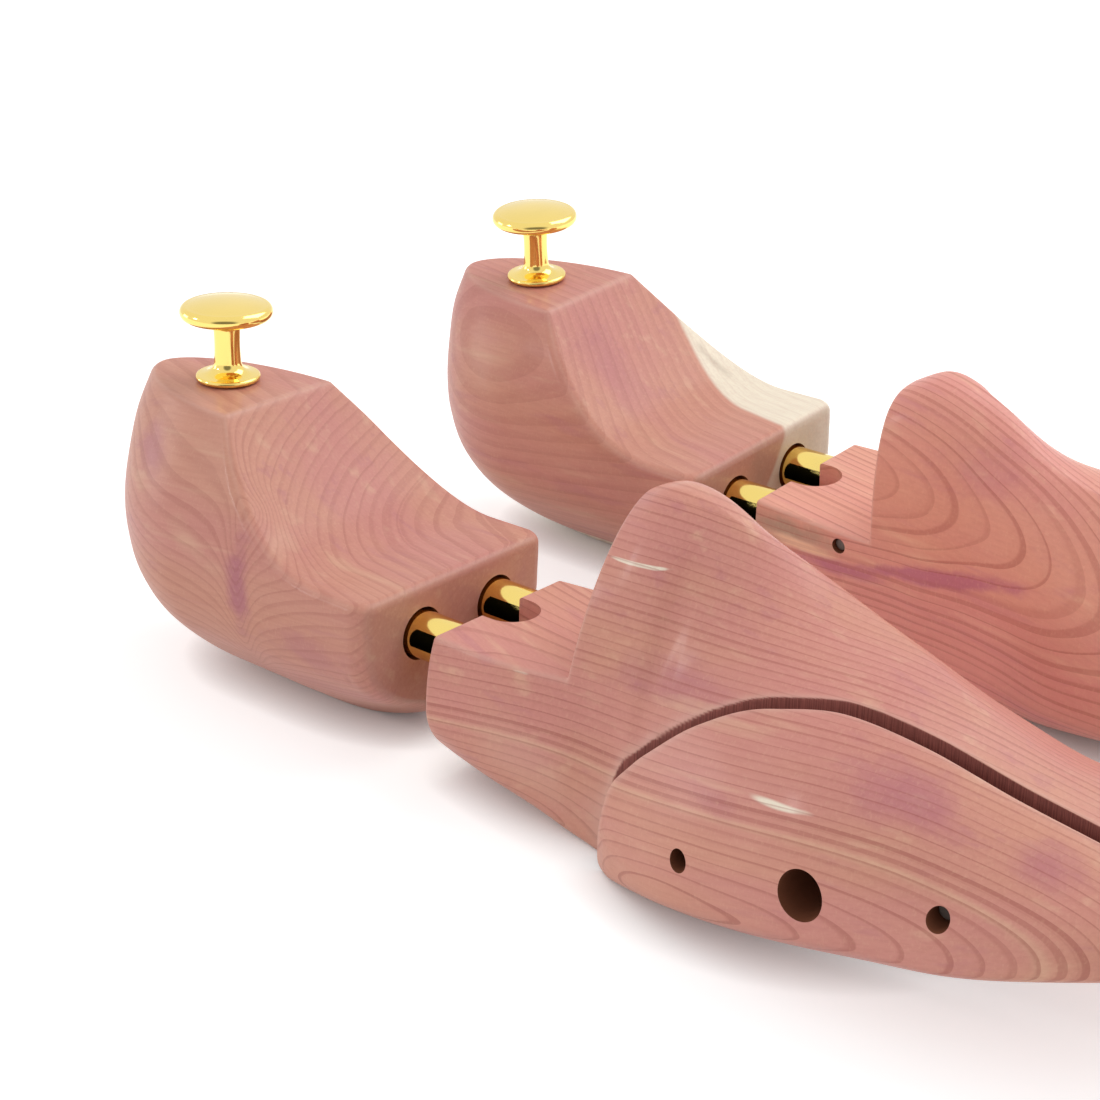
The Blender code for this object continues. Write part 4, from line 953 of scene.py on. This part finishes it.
def cedar(name, board, hand, props, moved=(0, 0, 0)):
    """Aromatic red cedar: growth rings round the board's pith, fibres along it, and patches of colour.

    The ring that a point lies in is its distance from the pith, with a low sway, over the rings' width.
    """
    facts = BOARDS[board]
    colours = {"violet": props.violet_colour, "pale": props.pale_colour, "line": props.line_colour,
               "stain_and_shade": props.stain_and_shade_colour, "cream": props.sapwood_colour}
    f = Finish(name)
    own = f.own_place(hand, moved)
    x, across, z = f.axes(own)
    y = across - facts["pith"][0] - x * facts["tilt"][0]
    z = z - facts["pith"][1] - x * facts["tilt"][1]
    if "bow" in facts:
        bent = (x - 90) * (x - 90)
        y, z = y - bent * facts["bow"][0], z - bent * facts["bow"][1]
    grain = f.node("ShaderNodeCombineXYZ", {}, {"X": x, "Y": y, "Z": z})
    shift = (facts["own"] * 7, facts["own"] * 3, facts["own"])
    sway = f.noise(grain, (0.010, 0.020, 0.020), 1.0, 0.4, shift)
    ripple = f.noise(grain, (0.035, 0.10, 0.10), 2.0, 0.5, shift)
    radius = (y * y + z * z).root() + (sway - 0.5) * (2 * facts["sway"]) + (ripple - 0.5) * (0.5 * facts["sway"])
    if "fold" in facts:
        place, deep, narrow, low, wide = facts["fold"]
        side = across.step(-14.0, -24.0)
        away = (x - place) / narrow
        broad = (x - place) / wide
        radius = radius + side * (1 / (1 + away * away) * deep + 1 / (1 + broad * broad) * low)
    uneven = f.node("ShaderNodeTexNoise", {"noise_dimensions": "1D"}, {"W": radius * 0.17 + facts["own"]})
    rings = (radius - facts.get("first", 0)) / facts["ring"] + uneven * 0.7
    year = rings.part()
    line = year.step(1 - 1.3 * facts["line"], 1 - 0.6 * facts["line"]) * (1 - year.step(0.965, 1.0))
    strong = f.node("ShaderNodeTexWhiteNoise", {"noise_dimensions": "1D"}, {"W": rings.whole()})
    line = line * (0.35 + 0.65 * strong)
    late = year.step(0.25, 1.0) * (1 - year.step(0.97, 1.0))
    fibre = f.noise(grain, (0.05, 1.6, 1.6), 4.0, 0.65, shift)
    fleck = f.noise(own, (1.9, 1.1, 1.1), 2.0, 0.6, shift)
    broad = f.noise(grain, (0.008, 0.045, 0.045), 3.0, 0.55, (facts["own"], 5, 9))
    streak = f.noise(grain, (0.012, 0.22, 0.22), 3.0, 0.6, (2, facts["own"], 31))
    blotch = f.noise(own, (0.10, 0.16, 0.16), 3.0, 0.6, shift)
    colour = f.blend(broad.step(0.36, 0.66), props.wood_colour, props.rose_colour)
    colour = f.blend(streak.step(0.56, 0.74) * 0.35, colour, props.pale_colour)
    colour = f.blend(streak.step(0.44, 0.26) * 0.35, colour, props.violet_colour)
    if "sapwood" in facts:
        sap = radius.step(facts["sapwood"] - 0.5, facts["sapwood"] + 0.9)
        colour = f.blend(sap, colour, props.sapwood_colour)
        line = line * (1 - sap * 0.75)
        late = late * (1 - sap * 0.6)
    if "band" in facts:
        away = (radius - facts["band"]) / 0.55
        colour = f.blend(1 / (1 + away * away * away * away) * (0.15 + 0.5 * blotch), colour, props.pale_colour)
    # The heel's front face: rings fade and the colour darkens there, partly as end grain and partly as painted shade
    # between the blocks.
    if "end" in facts:
        end = x.step(facts["end"][0] - 1.6, facts["end"][0] - 0.2)
        colour = f.blend(end * facts["end"][1], colour, props.stain_and_shade_colour)
        line, late = line * (1 - end * 0.8), late * (1 - end * 0.8)
    for kind, middle, size, turn, strength in facts["patches"]:
        near = f.node("ShaderNodeMapping", {"vector_type": "TEXTURE"},
                      {"Vector": own, "Location": middle, "Rotation": (0, math.radians(turn), 0), "Scale": size})
        near = f.node("ShaderNodeVectorMath", {"operation": "LENGTH"}, {"Vector": near}, "Value")
        if kind == "cream":
            near = near + (streak - 0.5) * 1.2
            patch = near.step(1.0, 0.6)
        else:
            near = near + (blotch - 0.5) * 1.3
            patch = near.step(1.0, 0.15)
        colour = f.blend((patch * strength).held(), colour, colours[kind])
    colour = f.blend(late * facts["depth"][1], colour, props.line_colour)
    colour = f.blend(line * facts["depth"][0], colour, props.line_colour)
    colour = f.blend(fibre.step(0.35, 0.75) * 0.14, colour, props.line_colour)
    colour = f.blend(fleck.step(0.50, 0.78) * 0.16, colour, props.pale_colour)
    # Painted light: the forefoot boards' colours are brightened in place of light that the lamps don't give them.
    if "painted_light_gain" in facts:
        colour = f.node("ShaderNodeVectorMath", {"operation": "SCALE"}, {"Vector": colour, "Scale": facts["painted_light_gain"]},
                        "Vector")
    edge, sawn, bored = (f.node("ShaderNodeAttribute", {"attribute_name": key}, output="Fac")
                         for key in ("edge", "sawn", "bored"))
    # Pale rounded edges: a painted highlight, the edge colour blended in near each edge.
    colour = f.blend(edge * 0.35, colour, props.edge_highlight_colour)
    marks = f.noise(own, (4.5, 4.5, 0.10), 2.0, 0.6)
    dark = f.blend(marks.step(0.32, 0.68), props.sawn_colour, [c * 0.6 for c in props.sawn_colour])
    colour = f.blend(sawn, colour, dark)
    # Walls of holes: painted shade, a dark colour for the shade deep inside them.
    colour = f.blend(bored, colour, props.hole_shade_colour)
    rough = 0.47 + (fibre - 0.5) * 0.16 + (blotch - 0.5) * 0.10 + sawn * 0.35 + bored * 0.3 - edge * 0.08
    height = (fibre - 0.5) * 0.5 + (fleck - 0.5) * 0.3 - line * 0.4 + sawn * marks * 2.0
    return f.principled(Base_Color=colour, Roughness=rough.held(), Normal=f.bump(height, 0.2, 0.00025),
                        Coat_Weight=(0.22 * (1 - sawn) * (1 - bored)).held(), Coat_Roughness=0.2,
                        Specular_IOR_Level=0.12)


def brass(name, props, drawn):
    """Polished brass; drawn tubes carry faint lines along x."""
    f = Finish(name)
    place = f.node("ShaderNodeTexCoord", output="Object")
    scale = (30, 2600, 2600) if drawn else (500, 500, 500)
    lines = f.noise(place, scale, 3.0, 0.6)
    cloud = f.noise(place, (90, 90, 90), 2.0, 0.5)
    colour = f.blend(cloud.step(0.3, 0.7) * 0.25, props.brass_colour, [c * 0.86 for c in props.brass_colour])
    rough = 0.10 + (lines - 0.5) * 0.05 + (cloud - 0.5) * 0.04
    return f.principled(Base_Color=colour, Metallic=1.0, Roughness=rough.held(), Normal=f.bump(lines, 0.05, 0.00005))


def steel(name, props, dull=False):
    """Zinc plating: grey with cloudy gloss; dull for the cut ends of pins, and darkened there as painted shade of the
    holes they sit in.
    """
    f = Finish(name)
    place = f.node("ShaderNodeTexCoord", output="Object")
    cloud = f.noise(place, (400, 400, 400), 3.0, 0.6)
    # The pins' dark colour is painted shade for their ends down in the holes.
    base = props.pin_shade_colour if dull else props.steel_colour
    colour = f.blend(cloud.step(0.3, 0.7), base, [c * 0.75 for c in base])
    return f.principled(Base_Color=colour, Metallic=0.5 if dull else 1.0,
                        Roughness=((0.5 if dull else 0.26) + cloud * 0.14).held(), Normal=f.bump(cloud, 0.1, 0.00005))


def nylon(name):
    """Natural nylon, slightly cloudy."""
    f = Finish(name)
    cloud = f.noise(f.node("ShaderNodeTexCoord", output="Object"), (300, 300, 300), 3.0, 0.6)
    colour = f.blend(cloud, (0.86, 0.85, 0.81), (0.78, 0.77, 0.73))
    return f.principled(Base_Color=colour, Roughness=(0.42 + cloud * 0.15).held(), Normal=f.bump(cloud, 0.1, 0.00005))


# Settings that a user would change

def colour_setting(name, description, default):
    """Setting for a colour."""
    return bpy.props.FloatVectorProperty(name=name, description=description, default=default, size=3, min=0.0,
                                         max=1.0, subtype="COLOR")


def lamp_power(name, description, default):
    """Setting for the power of a lamp."""
    return bpy.props.FloatProperty(name=name, description="Power of the " + description, default=default, min=0.0,
                                   max=100.0, unit="POWER")


class ShoeTreeFinishes(bpy.types.PropertyGroup):
    """Colours of the wood and the metals."""
    wood_colour: colour_setting("Wood", "Main colour of the cedar", (0.69, 0.325, 0.235))
    rose_colour: colour_setting("Rosy wood", "Colour of the cedar's rosier parts", (0.67, 0.285, 0.24))
    violet_colour: colour_setting("Violet patches", "Colour of the cedar's violet patches", (0.50, 0.175, 0.215))
    pale_colour: colour_setting("Pale streaks", "Colour of the cedar's pale streaks", (0.84, 0.54, 0.36))
    line_colour: colour_setting("Growth lines", "Colour of the late wood in each ring", (0.36, 0.095, 0.075))
    # Also used for the painted shade on the heels' front faces.
    stain_and_shade_colour: colour_setting("Stains and shade", "Colour of grey-brown stains in the wood, also painted as shade on the heels' front faces", (0.36, 0.25, 0.175))
    # Painted highlight: the pale colour laid along the wood's rounded edges.
    edge_highlight_colour: colour_setting("Edge highlights", "Colour of the highlight painted along the wood's edges", (0.86, 0.56, 0.46))
    sapwood_colour: colour_setting("Sapwood", "Colour of the band of sapwood", (0.97, 0.87, 0.70))
    sawn_colour: colour_setting("Sawn faces", "Colour of the unfinished faces in the saw cut", (0.42, 0.14, 0.115))
    # Painted shade: the dark colour laid on the walls of the holes.
    hole_shade_colour: colour_setting("Shade in holes", "Dark colour painted inside the holes as their shade", (0.22, 0.078, 0.04))
    brass_colour: colour_setting("Brass", "Colour of tubes and knobs", (0.97, 0.735, 0.22))
    steel_colour: colour_setting("Steel", "Colour of the zinc-plated fittings", (0.62, 0.62, 0.60))
    # Painted shade: the dark colour of the pins' ends in their holes.
    pin_shade_colour: colour_setting("Pins", "Colour of the pins' dull ends, painted dark as the shade of their holes", (0.20, 0.17, 0.15))


class ShoeTreeStage(bpy.types.PropertyGroup):
    """Light and view."""
    lens: bpy.props.FloatProperty(name="Focal length", description="Focal length of the camera on a 36 mm sensor",
                                  default=84.85, min=20.0, max=200.0, unit="CAMERA")
    sky: bpy.props.FloatProperty(name="Sky", description="Strength of the light from all round", default=0.80,
                                 min=0.0, max=2.0)
    softbox: lamp_power("Softbox", "large lamp overhead", 5.0)
    front_lamp: lamp_power("Front lamp", "small lamp in front", 1.1)
    side_lamp: lamp_power("Side lamp", "low lamp beside the heels", 1.0)


def finishes():
    """The colours as they are set."""
    return bpy.context.scene.shoe_tree_finishes


def found_material(name, make, *args):
    """A material by name, made the first time that it's asked for."""
    return bpy.data.materials.get(name) or make(name, *args)


def cedar_of(tree, board, piece=None, moved=(0, 0, 0)):
    """The cedar of a tree's board, or of a piece that was sawn off the board and has moved away."""
    return found_material(f"cedar_{tree}_{piece or board}", cedar, f"{tree}_{board}", HANDS[tree], finishes(), moved)


def steel_finish(dull=False):
    """The fittings' steel, bright, or dull and darkened as painted shade for the pins."""
    return found_material("dull_steel" if dull else "zinc_steel", steel, finishes(), dull)


class SHOETREES_OT_forefeet(bpy.types.Operator):
    """Forefoot blocks: neck, step wall, instep and toe"""
    bl_idname = "shoe_trees.forefeet"
    bl_label = "Forefoot blocks"

    def execute(self, context):
        for tree, hand in HANDS.items():
            name = tree + "_forefoot_block"
            set_piece(name + "_wood", forefoot_mesh(tree, hand), tree + "_forefoot", [name],
                      cedar_of(tree, "forefoot"))
        return {"FINISHED"}


class SHOETREES_OT_side_pieces(bpy.types.Operator):
    """Side pieces that are split off the forefeet"""
    bl_idname = "shoe_trees.side_pieces"
    bl_label = "Side pieces"

    def execute(self, context):
        for tree, hand in HANDS.items():
            name = tree + "_side_piece"
            set_piece(name + "_wood", side_mesh(tree, hand), tree + "_side", [name],
                      cedar_of(tree, "forefoot", "side", SPLIT_AXIS * SIDE_OPEN))
        return {"FINISHED"}


class SHOETREES_OT_heels(bpy.types.Operator):
    """Heel blocks with their scooped upper side"""
    bl_idname = "shoe_trees.heels"
    bl_label = "Heel blocks"

    def execute(self, context):
        for tree, hand in HANDS.items():
            name = tree + "_heel_block"
            set_piece(name + "_wood", heel_mesh(tree, hand), tree + "_heel", [name], cedar_of(tree, "heel"))
        return {"FINISHED"}


class SHOETREES_OT_knobs(bpy.types.Operator):
    """Turned brass knobs on the heel blocks"""
    bl_idname = "shoe_trees.knobs"
    bl_label = "Knobs"

    def execute(self, context):
        finish = found_material("brass_turned", brass, finishes(), False)
        for tree, hand in HANDS.items():
            name = tree + "_knob"
            mesh = turned(name, knob_profile(), (-KNOB_BACK, 0, HEEL_TOP + SEAT_GAP), (0, 0, 1), hand, 128)
            set_piece(name + "_brass", mesh, tree + "_heel", [name], finish, 50.0)
        return {"FINISHED"}


class SHOETREES_OT_tubes(bpy.types.Operator):
    """Brass tubes between heel blocks and forefeet, with the cross pins that hold them"""
    bl_idname = "shoe_trees.tubes"
    bl_label = "Tubes"

    def execute(self, context):
        finish = found_material("brass_drawn", brass, finishes(), True)
        for tree, hand in HANDS.items():
            for side, y in TUBE_PLACES.items():
                name = f"{tree}_{side}_tube"
                profile = tube(TUBE_INNER, TUBE_RADIUS, -TUBE_IN_HEEL, HEEL_TO_NECK + TUBE_IN_NECK, 0.2 * MM)
                mesh = turned(name, profile, (0, y, 0), (1, 0, 0), hand, 96, ring=True)
                mesh = drilled(mesh, [hole_cutter(CROSS_PIN_HOLE, hand, 32)], name)
                set_piece(name + "_brass", mesh, tree + "_forefoot", [name], finish)
            end = float(forefoot_edge(CROSS_PIN_X)) - CROSS_PIN_RECESS
            mesh = turned(tree + "_cross_pin", rod(CROSS_PIN_RADIUS, -CROSS_PIN_END, end, 0.15 * MM),
                          (CROSS_PIN_X, 0, CROSS_PIN_Z), (0, 1, 0), hand, 32)
            set_piece(tree + "_cross_pin_steel", mesh, tree + "_forefoot", [tree + "_cross_pin"],
                      steel_finish(dull=True))
        return {"FINISHED"}


def forefoot_edge(x):
    """Sideways place of the forefoot's inner face at the cross pin's height."""
    sizes = forefoot_sizes(np.array([x]))
    y = np.linspace(5 * MM, 45 * MM, 2000)
    inside = forefoot_skin(sizes, y, np.full_like(y, CROSS_PIN_Z)) < 0
    return y[inside].max()


class SHOETREES_OT_side_fittings(bpy.types.Operator):
    """Screws, washers, guide pins and springs of the side pieces"""
    bl_idname = "shoe_trees.side_fittings"
    bl_label = "Side fittings"

    def execute(self, context):
        finish = steel_finish()
        under_head = -SPLIT_GAP - SHOULDER - SEAT_GAP - WASHER - SEAT_GAP
        head, slot_depth = under_head - SCREW_HEAD, 1.2 * MM
        screw = [(SCREW_RADIUS - 0.4 * MM, SCREW_IN_BODY), (SCREW_RADIUS, SCREW_IN_BODY - 0.6 * MM),
                 (SCREW_RADIUS, under_head)]
        screw += [(across * SCREW_HEAD_RADIUS, under_head - up * SCREW_HEAD)
                  for across, up in ((1, 0), (1, 0.45), (0.93, 0.72), (0.75, 0.91), (0.4, 1))]
        place = split_point(*SCREW_PLACE)
        for tree, hand in HANDS.items():
            name = tree + "_side_screw"
            cutters = [slot_cutter(place, head, slot_depth, hand, turn) for turn in (0.4, 0.4 + math.pi / 2)]
            mesh = drilled(turned(name, screw, place, SPLIT_AXIS, hand, 64), cutters, name)
            set_piece(name + "_steel", mesh, tree + "_forefoot", [name], finish)
            name = tree + "_side_washer"
            washer = tube(SCREW_RADIUS + SEAT_GAP, SCREW_HEAD_RADIUS, under_head + SEAT_GAP,
                          under_head + SEAT_GAP + WASHER, 0.15 * MM)
            mesh = turned(name, washer, place, SPLIT_AXIS, hand, 64, ring=True)
            set_piece(name + "_steel", mesh, tree + "_forefoot", [name], finish)
            for label, pin in PIN_PLACES.items():
                name = f"{tree}_{label}_guide_pin"
                low, high = pin_span(name, split_point(*pin), hand)
                mesh = turned(name, rod(PIN_RADIUS, low, high, 0.3 * MM), split_point(*pin), SPLIT_AXIS, hand, 40)
                set_piece(name + "_steel", mesh, tree + "_forefoot", [name], steel_finish(dull=True))
            name = tree + "_side_spring"
            mesh = wire_coil(name, SIDE_SPRING_RADIUS, SIDE_SPRING_WIRE, SIDE_SPRING_TURNS, -SPLIT_GAP,
                             SIDE_SPRING_SEAT, place, SPLIT_AXIS, hand)
            piece = set_piece(name + "_wire", mesh, tree + "_forefoot", [name], finish, 60.0)
            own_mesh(piece)
        return {"FINISHED"}


def slot_cutter(place, head, depth, hand, turn):
    """A narrow bar across the screw's head, as two square rings of points."""
    frame_axes = direction_frame(SPLIT_AXIS)
    long, short = 2.6 * MM, 0.45 * MM
    cos, sin = math.cos(turn), math.sin(turn)
    flat = np.array(((long, short), (-long, short), (-long, -short), (long, -short)))
    flat = flat @ np.array(((cos, sin), (-sin, cos)))
    rings = [np.column_stack([flat, np.full(4, h)]) for h in (head - 1 * MM, head + depth)]
    return grid_mesh("slot", placed(np.stack(rings) @ frame_axes.T + place, hand))


def pin_span(node, place, hand):
    """Lowest and highest point of a CAD pin along the split's axis."""
    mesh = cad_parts[node].data
    points = own_points(mesh, hand)
    along = (points - place) @ SPLIT_AXIS
    return float(along.min()), float(along.max())


class SHOETREES_OT_inner_parts(bpy.types.Operator):
    """Heel springs, and finishes of the pieces inside the bores, which keep their CAD solids"""
    bl_idname = "shoe_trees.inner_parts"
    bl_label = "Inner parts"

    def execute(self, context):
        finish = steel_finish()
        bushing = found_material("nylon", nylon)
        for tree, hand in HANDS.items():
            for side, y in TUBE_PLACES.items():
                name = f"{tree}_{side}_heel_spring"
                mesh = wire_coil(name, SPRING_RADIUS, SPRING_WIRE, SPRING_TURNS, -HEEL_BORE_DEPTH, -TUBE_IN_HEEL,
                                 (0, y, 0), (1, 0, 0), hand)
                piece = set_piece(name + "_wire", mesh, tree + "_heel", [name], finish, 60.0)
                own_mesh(piece)
        shown = {"knob_stud": finish, "guide_rod": finish, "stop_collar": finish, "tube_bush": bushing}
        for name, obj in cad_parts.items():
            for ending, material in shown.items():
                if name.endswith(ending):
                    obj.data.materials.clear()
                    obj.data.materials.append(material)
        return {"FINISHED"}


# The camera, as fitted to the photo
CAMERA_PLACE = (0.2742, -0.4007, 0.2588)
CAMERA_TURN = math.radians(40.45)
CAMERA_DIP = math.radians(24.47)
CAMERA_ROLL = math.radians(0.297)


class SHOETREES_OT_stage(bpy.types.Operator):
    """Floor, sky, lamps and camera"""
    bl_idname = "shoe_trees.stage"
    bl_label = "Stage"

    def execute(self, context):
        scene, stage = context.scene, context.scene.shoe_tree_stage
        scene.view_settings.view_transform = "Standard"
        camera = bpy.data.objects.new("camera", bpy.data.cameras.new("camera"))
        camera.data.lens, camera.data.sensor_width = stage.lens, 36.0
        forward = Vector((-math.sin(CAMERA_TURN) * math.cos(CAMERA_DIP), math.cos(CAMERA_TURN) * math.cos(CAMERA_DIP),
                          -math.sin(CAMERA_DIP)))
        turn = forward.to_track_quat("-Z", "Y").to_matrix().to_4x4()
        camera.matrix_world = Matrix.Translation(CAMERA_PLACE) @ turn @ Matrix.Rotation(-CAMERA_ROLL, 4, "Z")
        camera.data.clip_start, camera.data.clip_end = 0.01, 20.0
        scene.collection.objects.link(camera)
        scene.camera = camera
        self.add_floor(scene)
        self.add_sky(scene, stage.sky)
        self.add_lamp(scene, "softbox", (0.25, 0.65, 0.85), (0.0, 0.0, 0.0), 0.8, stage.softbox)
        self.add_lamp(scene, "front_lamp", (-0.72, -0.80, 0.52), (0.0, 0.0, 0.03), 0.16, stage.front_lamp)
        self.add_lamp(scene, "side_lamp", (-1.15, -0.42, 0.20), (-0.05, 0.0, 0.04), 0.35, stage.side_lamp)
        self.add_flags(scene)
        return {"FINISHED"}

    def add_flags(self, scene):
        """Small black flags beside the tubes, seen only in their gloss, as in a product photograph."""
        f = Finish("black_flag")
        finish = f.principled(Base_Color=(0.004, 0.004, 0.004, 1), Roughness=1.0, Specular_IOR_Level=0.0)
        for tree, hand in HANDS.items():
            near = -1 if hand > 0 else 1
            for side in (-TUBE_SPACING / 2, TUBE_SPACING / 2):
                y = side + near * (TUBE_RADIUS + 0.9 * MM)
                a = np.array([[(0.3 * MM, y, z * MM), (13 * MM, y, z * MM)] for z in (-1.8, 4.6)])
                flag = self.add_sheet(scene, tree + "_flag", placed(a, hand), finish)
                for ray in ("camera", "diffuse", "transmission", "volume_scatter", "shadow"):
                    setattr(flag, "visible_" + ray, False)

    def add_sheet(self, scene, name, grid, material):
        """A sheet of the stage, from a grid of points."""
        mesh = grid_mesh(name, grid, closed=False, poles=False)
        mesh.materials.append(material)
        obj = bpy.data.objects.new(mesh.name, mesh)
        scene.collection.objects.link(obj)
        return obj

    def add_floor(self, scene):
        """Pale floor just under the table plane, as bright as the sky to the camera but for what stands on it:
        round that, its glow fades as a painted contact shadow.
        """
        a = np.linspace(-4, 4, 9)
        grid = np.stack([*np.meshgrid(a, a, indexing="ij"), np.full((9, 9), -0.05 * MM)], axis=2)
        f = Finish("pale_floor")
        seen = [f.node("ShaderNodeLightPath", output=name) for name in
                ("Is Camera Ray", "Is Glossy Ray", "Is Transmission Ray")]
        seen = (seen[0] + seen[1] + seen[2]).held()
        # Painted contact shadow: ambient occlusion dims the floor's glow next to the trees.
        contact_shadow = f.node("ShaderNodeAmbientOcclusion", {"samples": 8}, {"Distance": 0.009}, "AO")
        f.principled(Base_Color=(0.80, 0.80, 0.80, 1), Roughness=0.95, Specular_IOR_Level=0.0,
                     Emission_Color=(1, 1, 1, 1), Emission_Strength=seen * contact_shadow * 0.56)
        self.add_sheet(scene, "floor", grid, f.material)

    def add_sky(self, scene, strength):
        """White to the camera, an even light to the wood, and darker towards the front to glossy surfaces."""
        world = bpy.data.worlds.new("sky")
        world.use_nodes = True
        tree = world.node_tree
        tree.nodes.clear()
        f = Finish.__new__(Finish)
        f.tree = tree
        direction = f.node("ShaderNodeTexCoord", output="Generated")
        front = f.node("ShaderNodeVectorMath", {"operation": "DOT_PRODUCT"},
                       {0: direction, 1: (0.66, -0.72, 0.22)}, "Value")
        camera = f.node("ShaderNodeLightPath", output="Is Camera Ray")
        glossy = f.node("ShaderNodeLightPath", output="Is Glossy Ray") * (1 - camera)
        level = camera + glossy * (1.2 - 0.9 * front.step(0.80, 0.95)) + (1 - camera) * (1 - glossy) * strength
        back = tree.nodes.new("ShaderNodeBackground")
        tree.links.new(level.socket, back.inputs["Strength"])
        tree.links.new(back.outputs[0], tree.nodes.new("ShaderNodeOutputWorld").inputs["Surface"])
        scene.world = world

    def add_lamp(self, scene, name, place, target, size, power):
        """A square lamp that shines from a place at a target."""
        lamp = bpy.data.lights.new(name, "AREA")
        lamp.shape, lamp.size, lamp.energy = "SQUARE", size, power
        obj = bpy.data.objects.new(name, lamp)
        aim = (Vector(target) - Vector(place)).to_track_quat("-Z", "Y")
        obj.matrix_world = Matrix.Translation(place) @ aim.to_matrix().to_4x4()
        scene.collection.objects.link(obj)


class SHOETREES_PT_panel(bpy.types.Panel):
    """The shoe trees' pieces and finishes"""
    bl_idname = "SHOETREES_PT_panel"
    bl_label = "Shoe trees"
    bl_space_type = "VIEW_3D"
    bl_region_type = "UI"
    bl_category = "Shoe trees"

    def draw(self, context):
        layout = self.layout
        for operator in OPERATORS:
            layout.operator(operator.bl_idname, text=operator.bl_label)
        for group in (context.scene.shoe_tree_finishes, context.scene.shoe_tree_stage):
            for key in group.__annotations__:
                layout.prop(group, key)


OPERATORS = (SHOETREES_OT_forefeet, SHOETREES_OT_side_pieces, SHOETREES_OT_heels, SHOETREES_OT_knobs,
             SHOETREES_OT_tubes, SHOETREES_OT_side_fittings, SHOETREES_OT_inner_parts, SHOETREES_OT_stage)
CLASSES = (ShoeTreeFinishes, ShoeTreeStage, *OPERATORS, SHOETREES_PT_panel)


def register():
    """Add the classes and their settings to Blender."""
    for item in CLASSES:
        bpy.utils.register_class(item)
    bpy.types.Scene.shoe_tree_finishes = bpy.props.PointerProperty(type=ShoeTreeFinishes)
    bpy.types.Scene.shoe_tree_stage = bpy.props.PointerProperty(type=ShoeTreeStage)


def unregister():
    """Take them out again."""
    del bpy.types.Scene.shoe_tree_stage
    del bpy.types.Scene.shoe_tree_finishes
    for item in reversed(CLASSES):
        bpy.utils.unregister_class(item)


def main():
    """Builds every piece and the stage."""
    register()
    for operator in OPERATORS:
        group, name = operator.bl_idname.split(".")
        getattr(getattr(bpy.ops, group), name)()


if __name__ == "__main__":
    main()
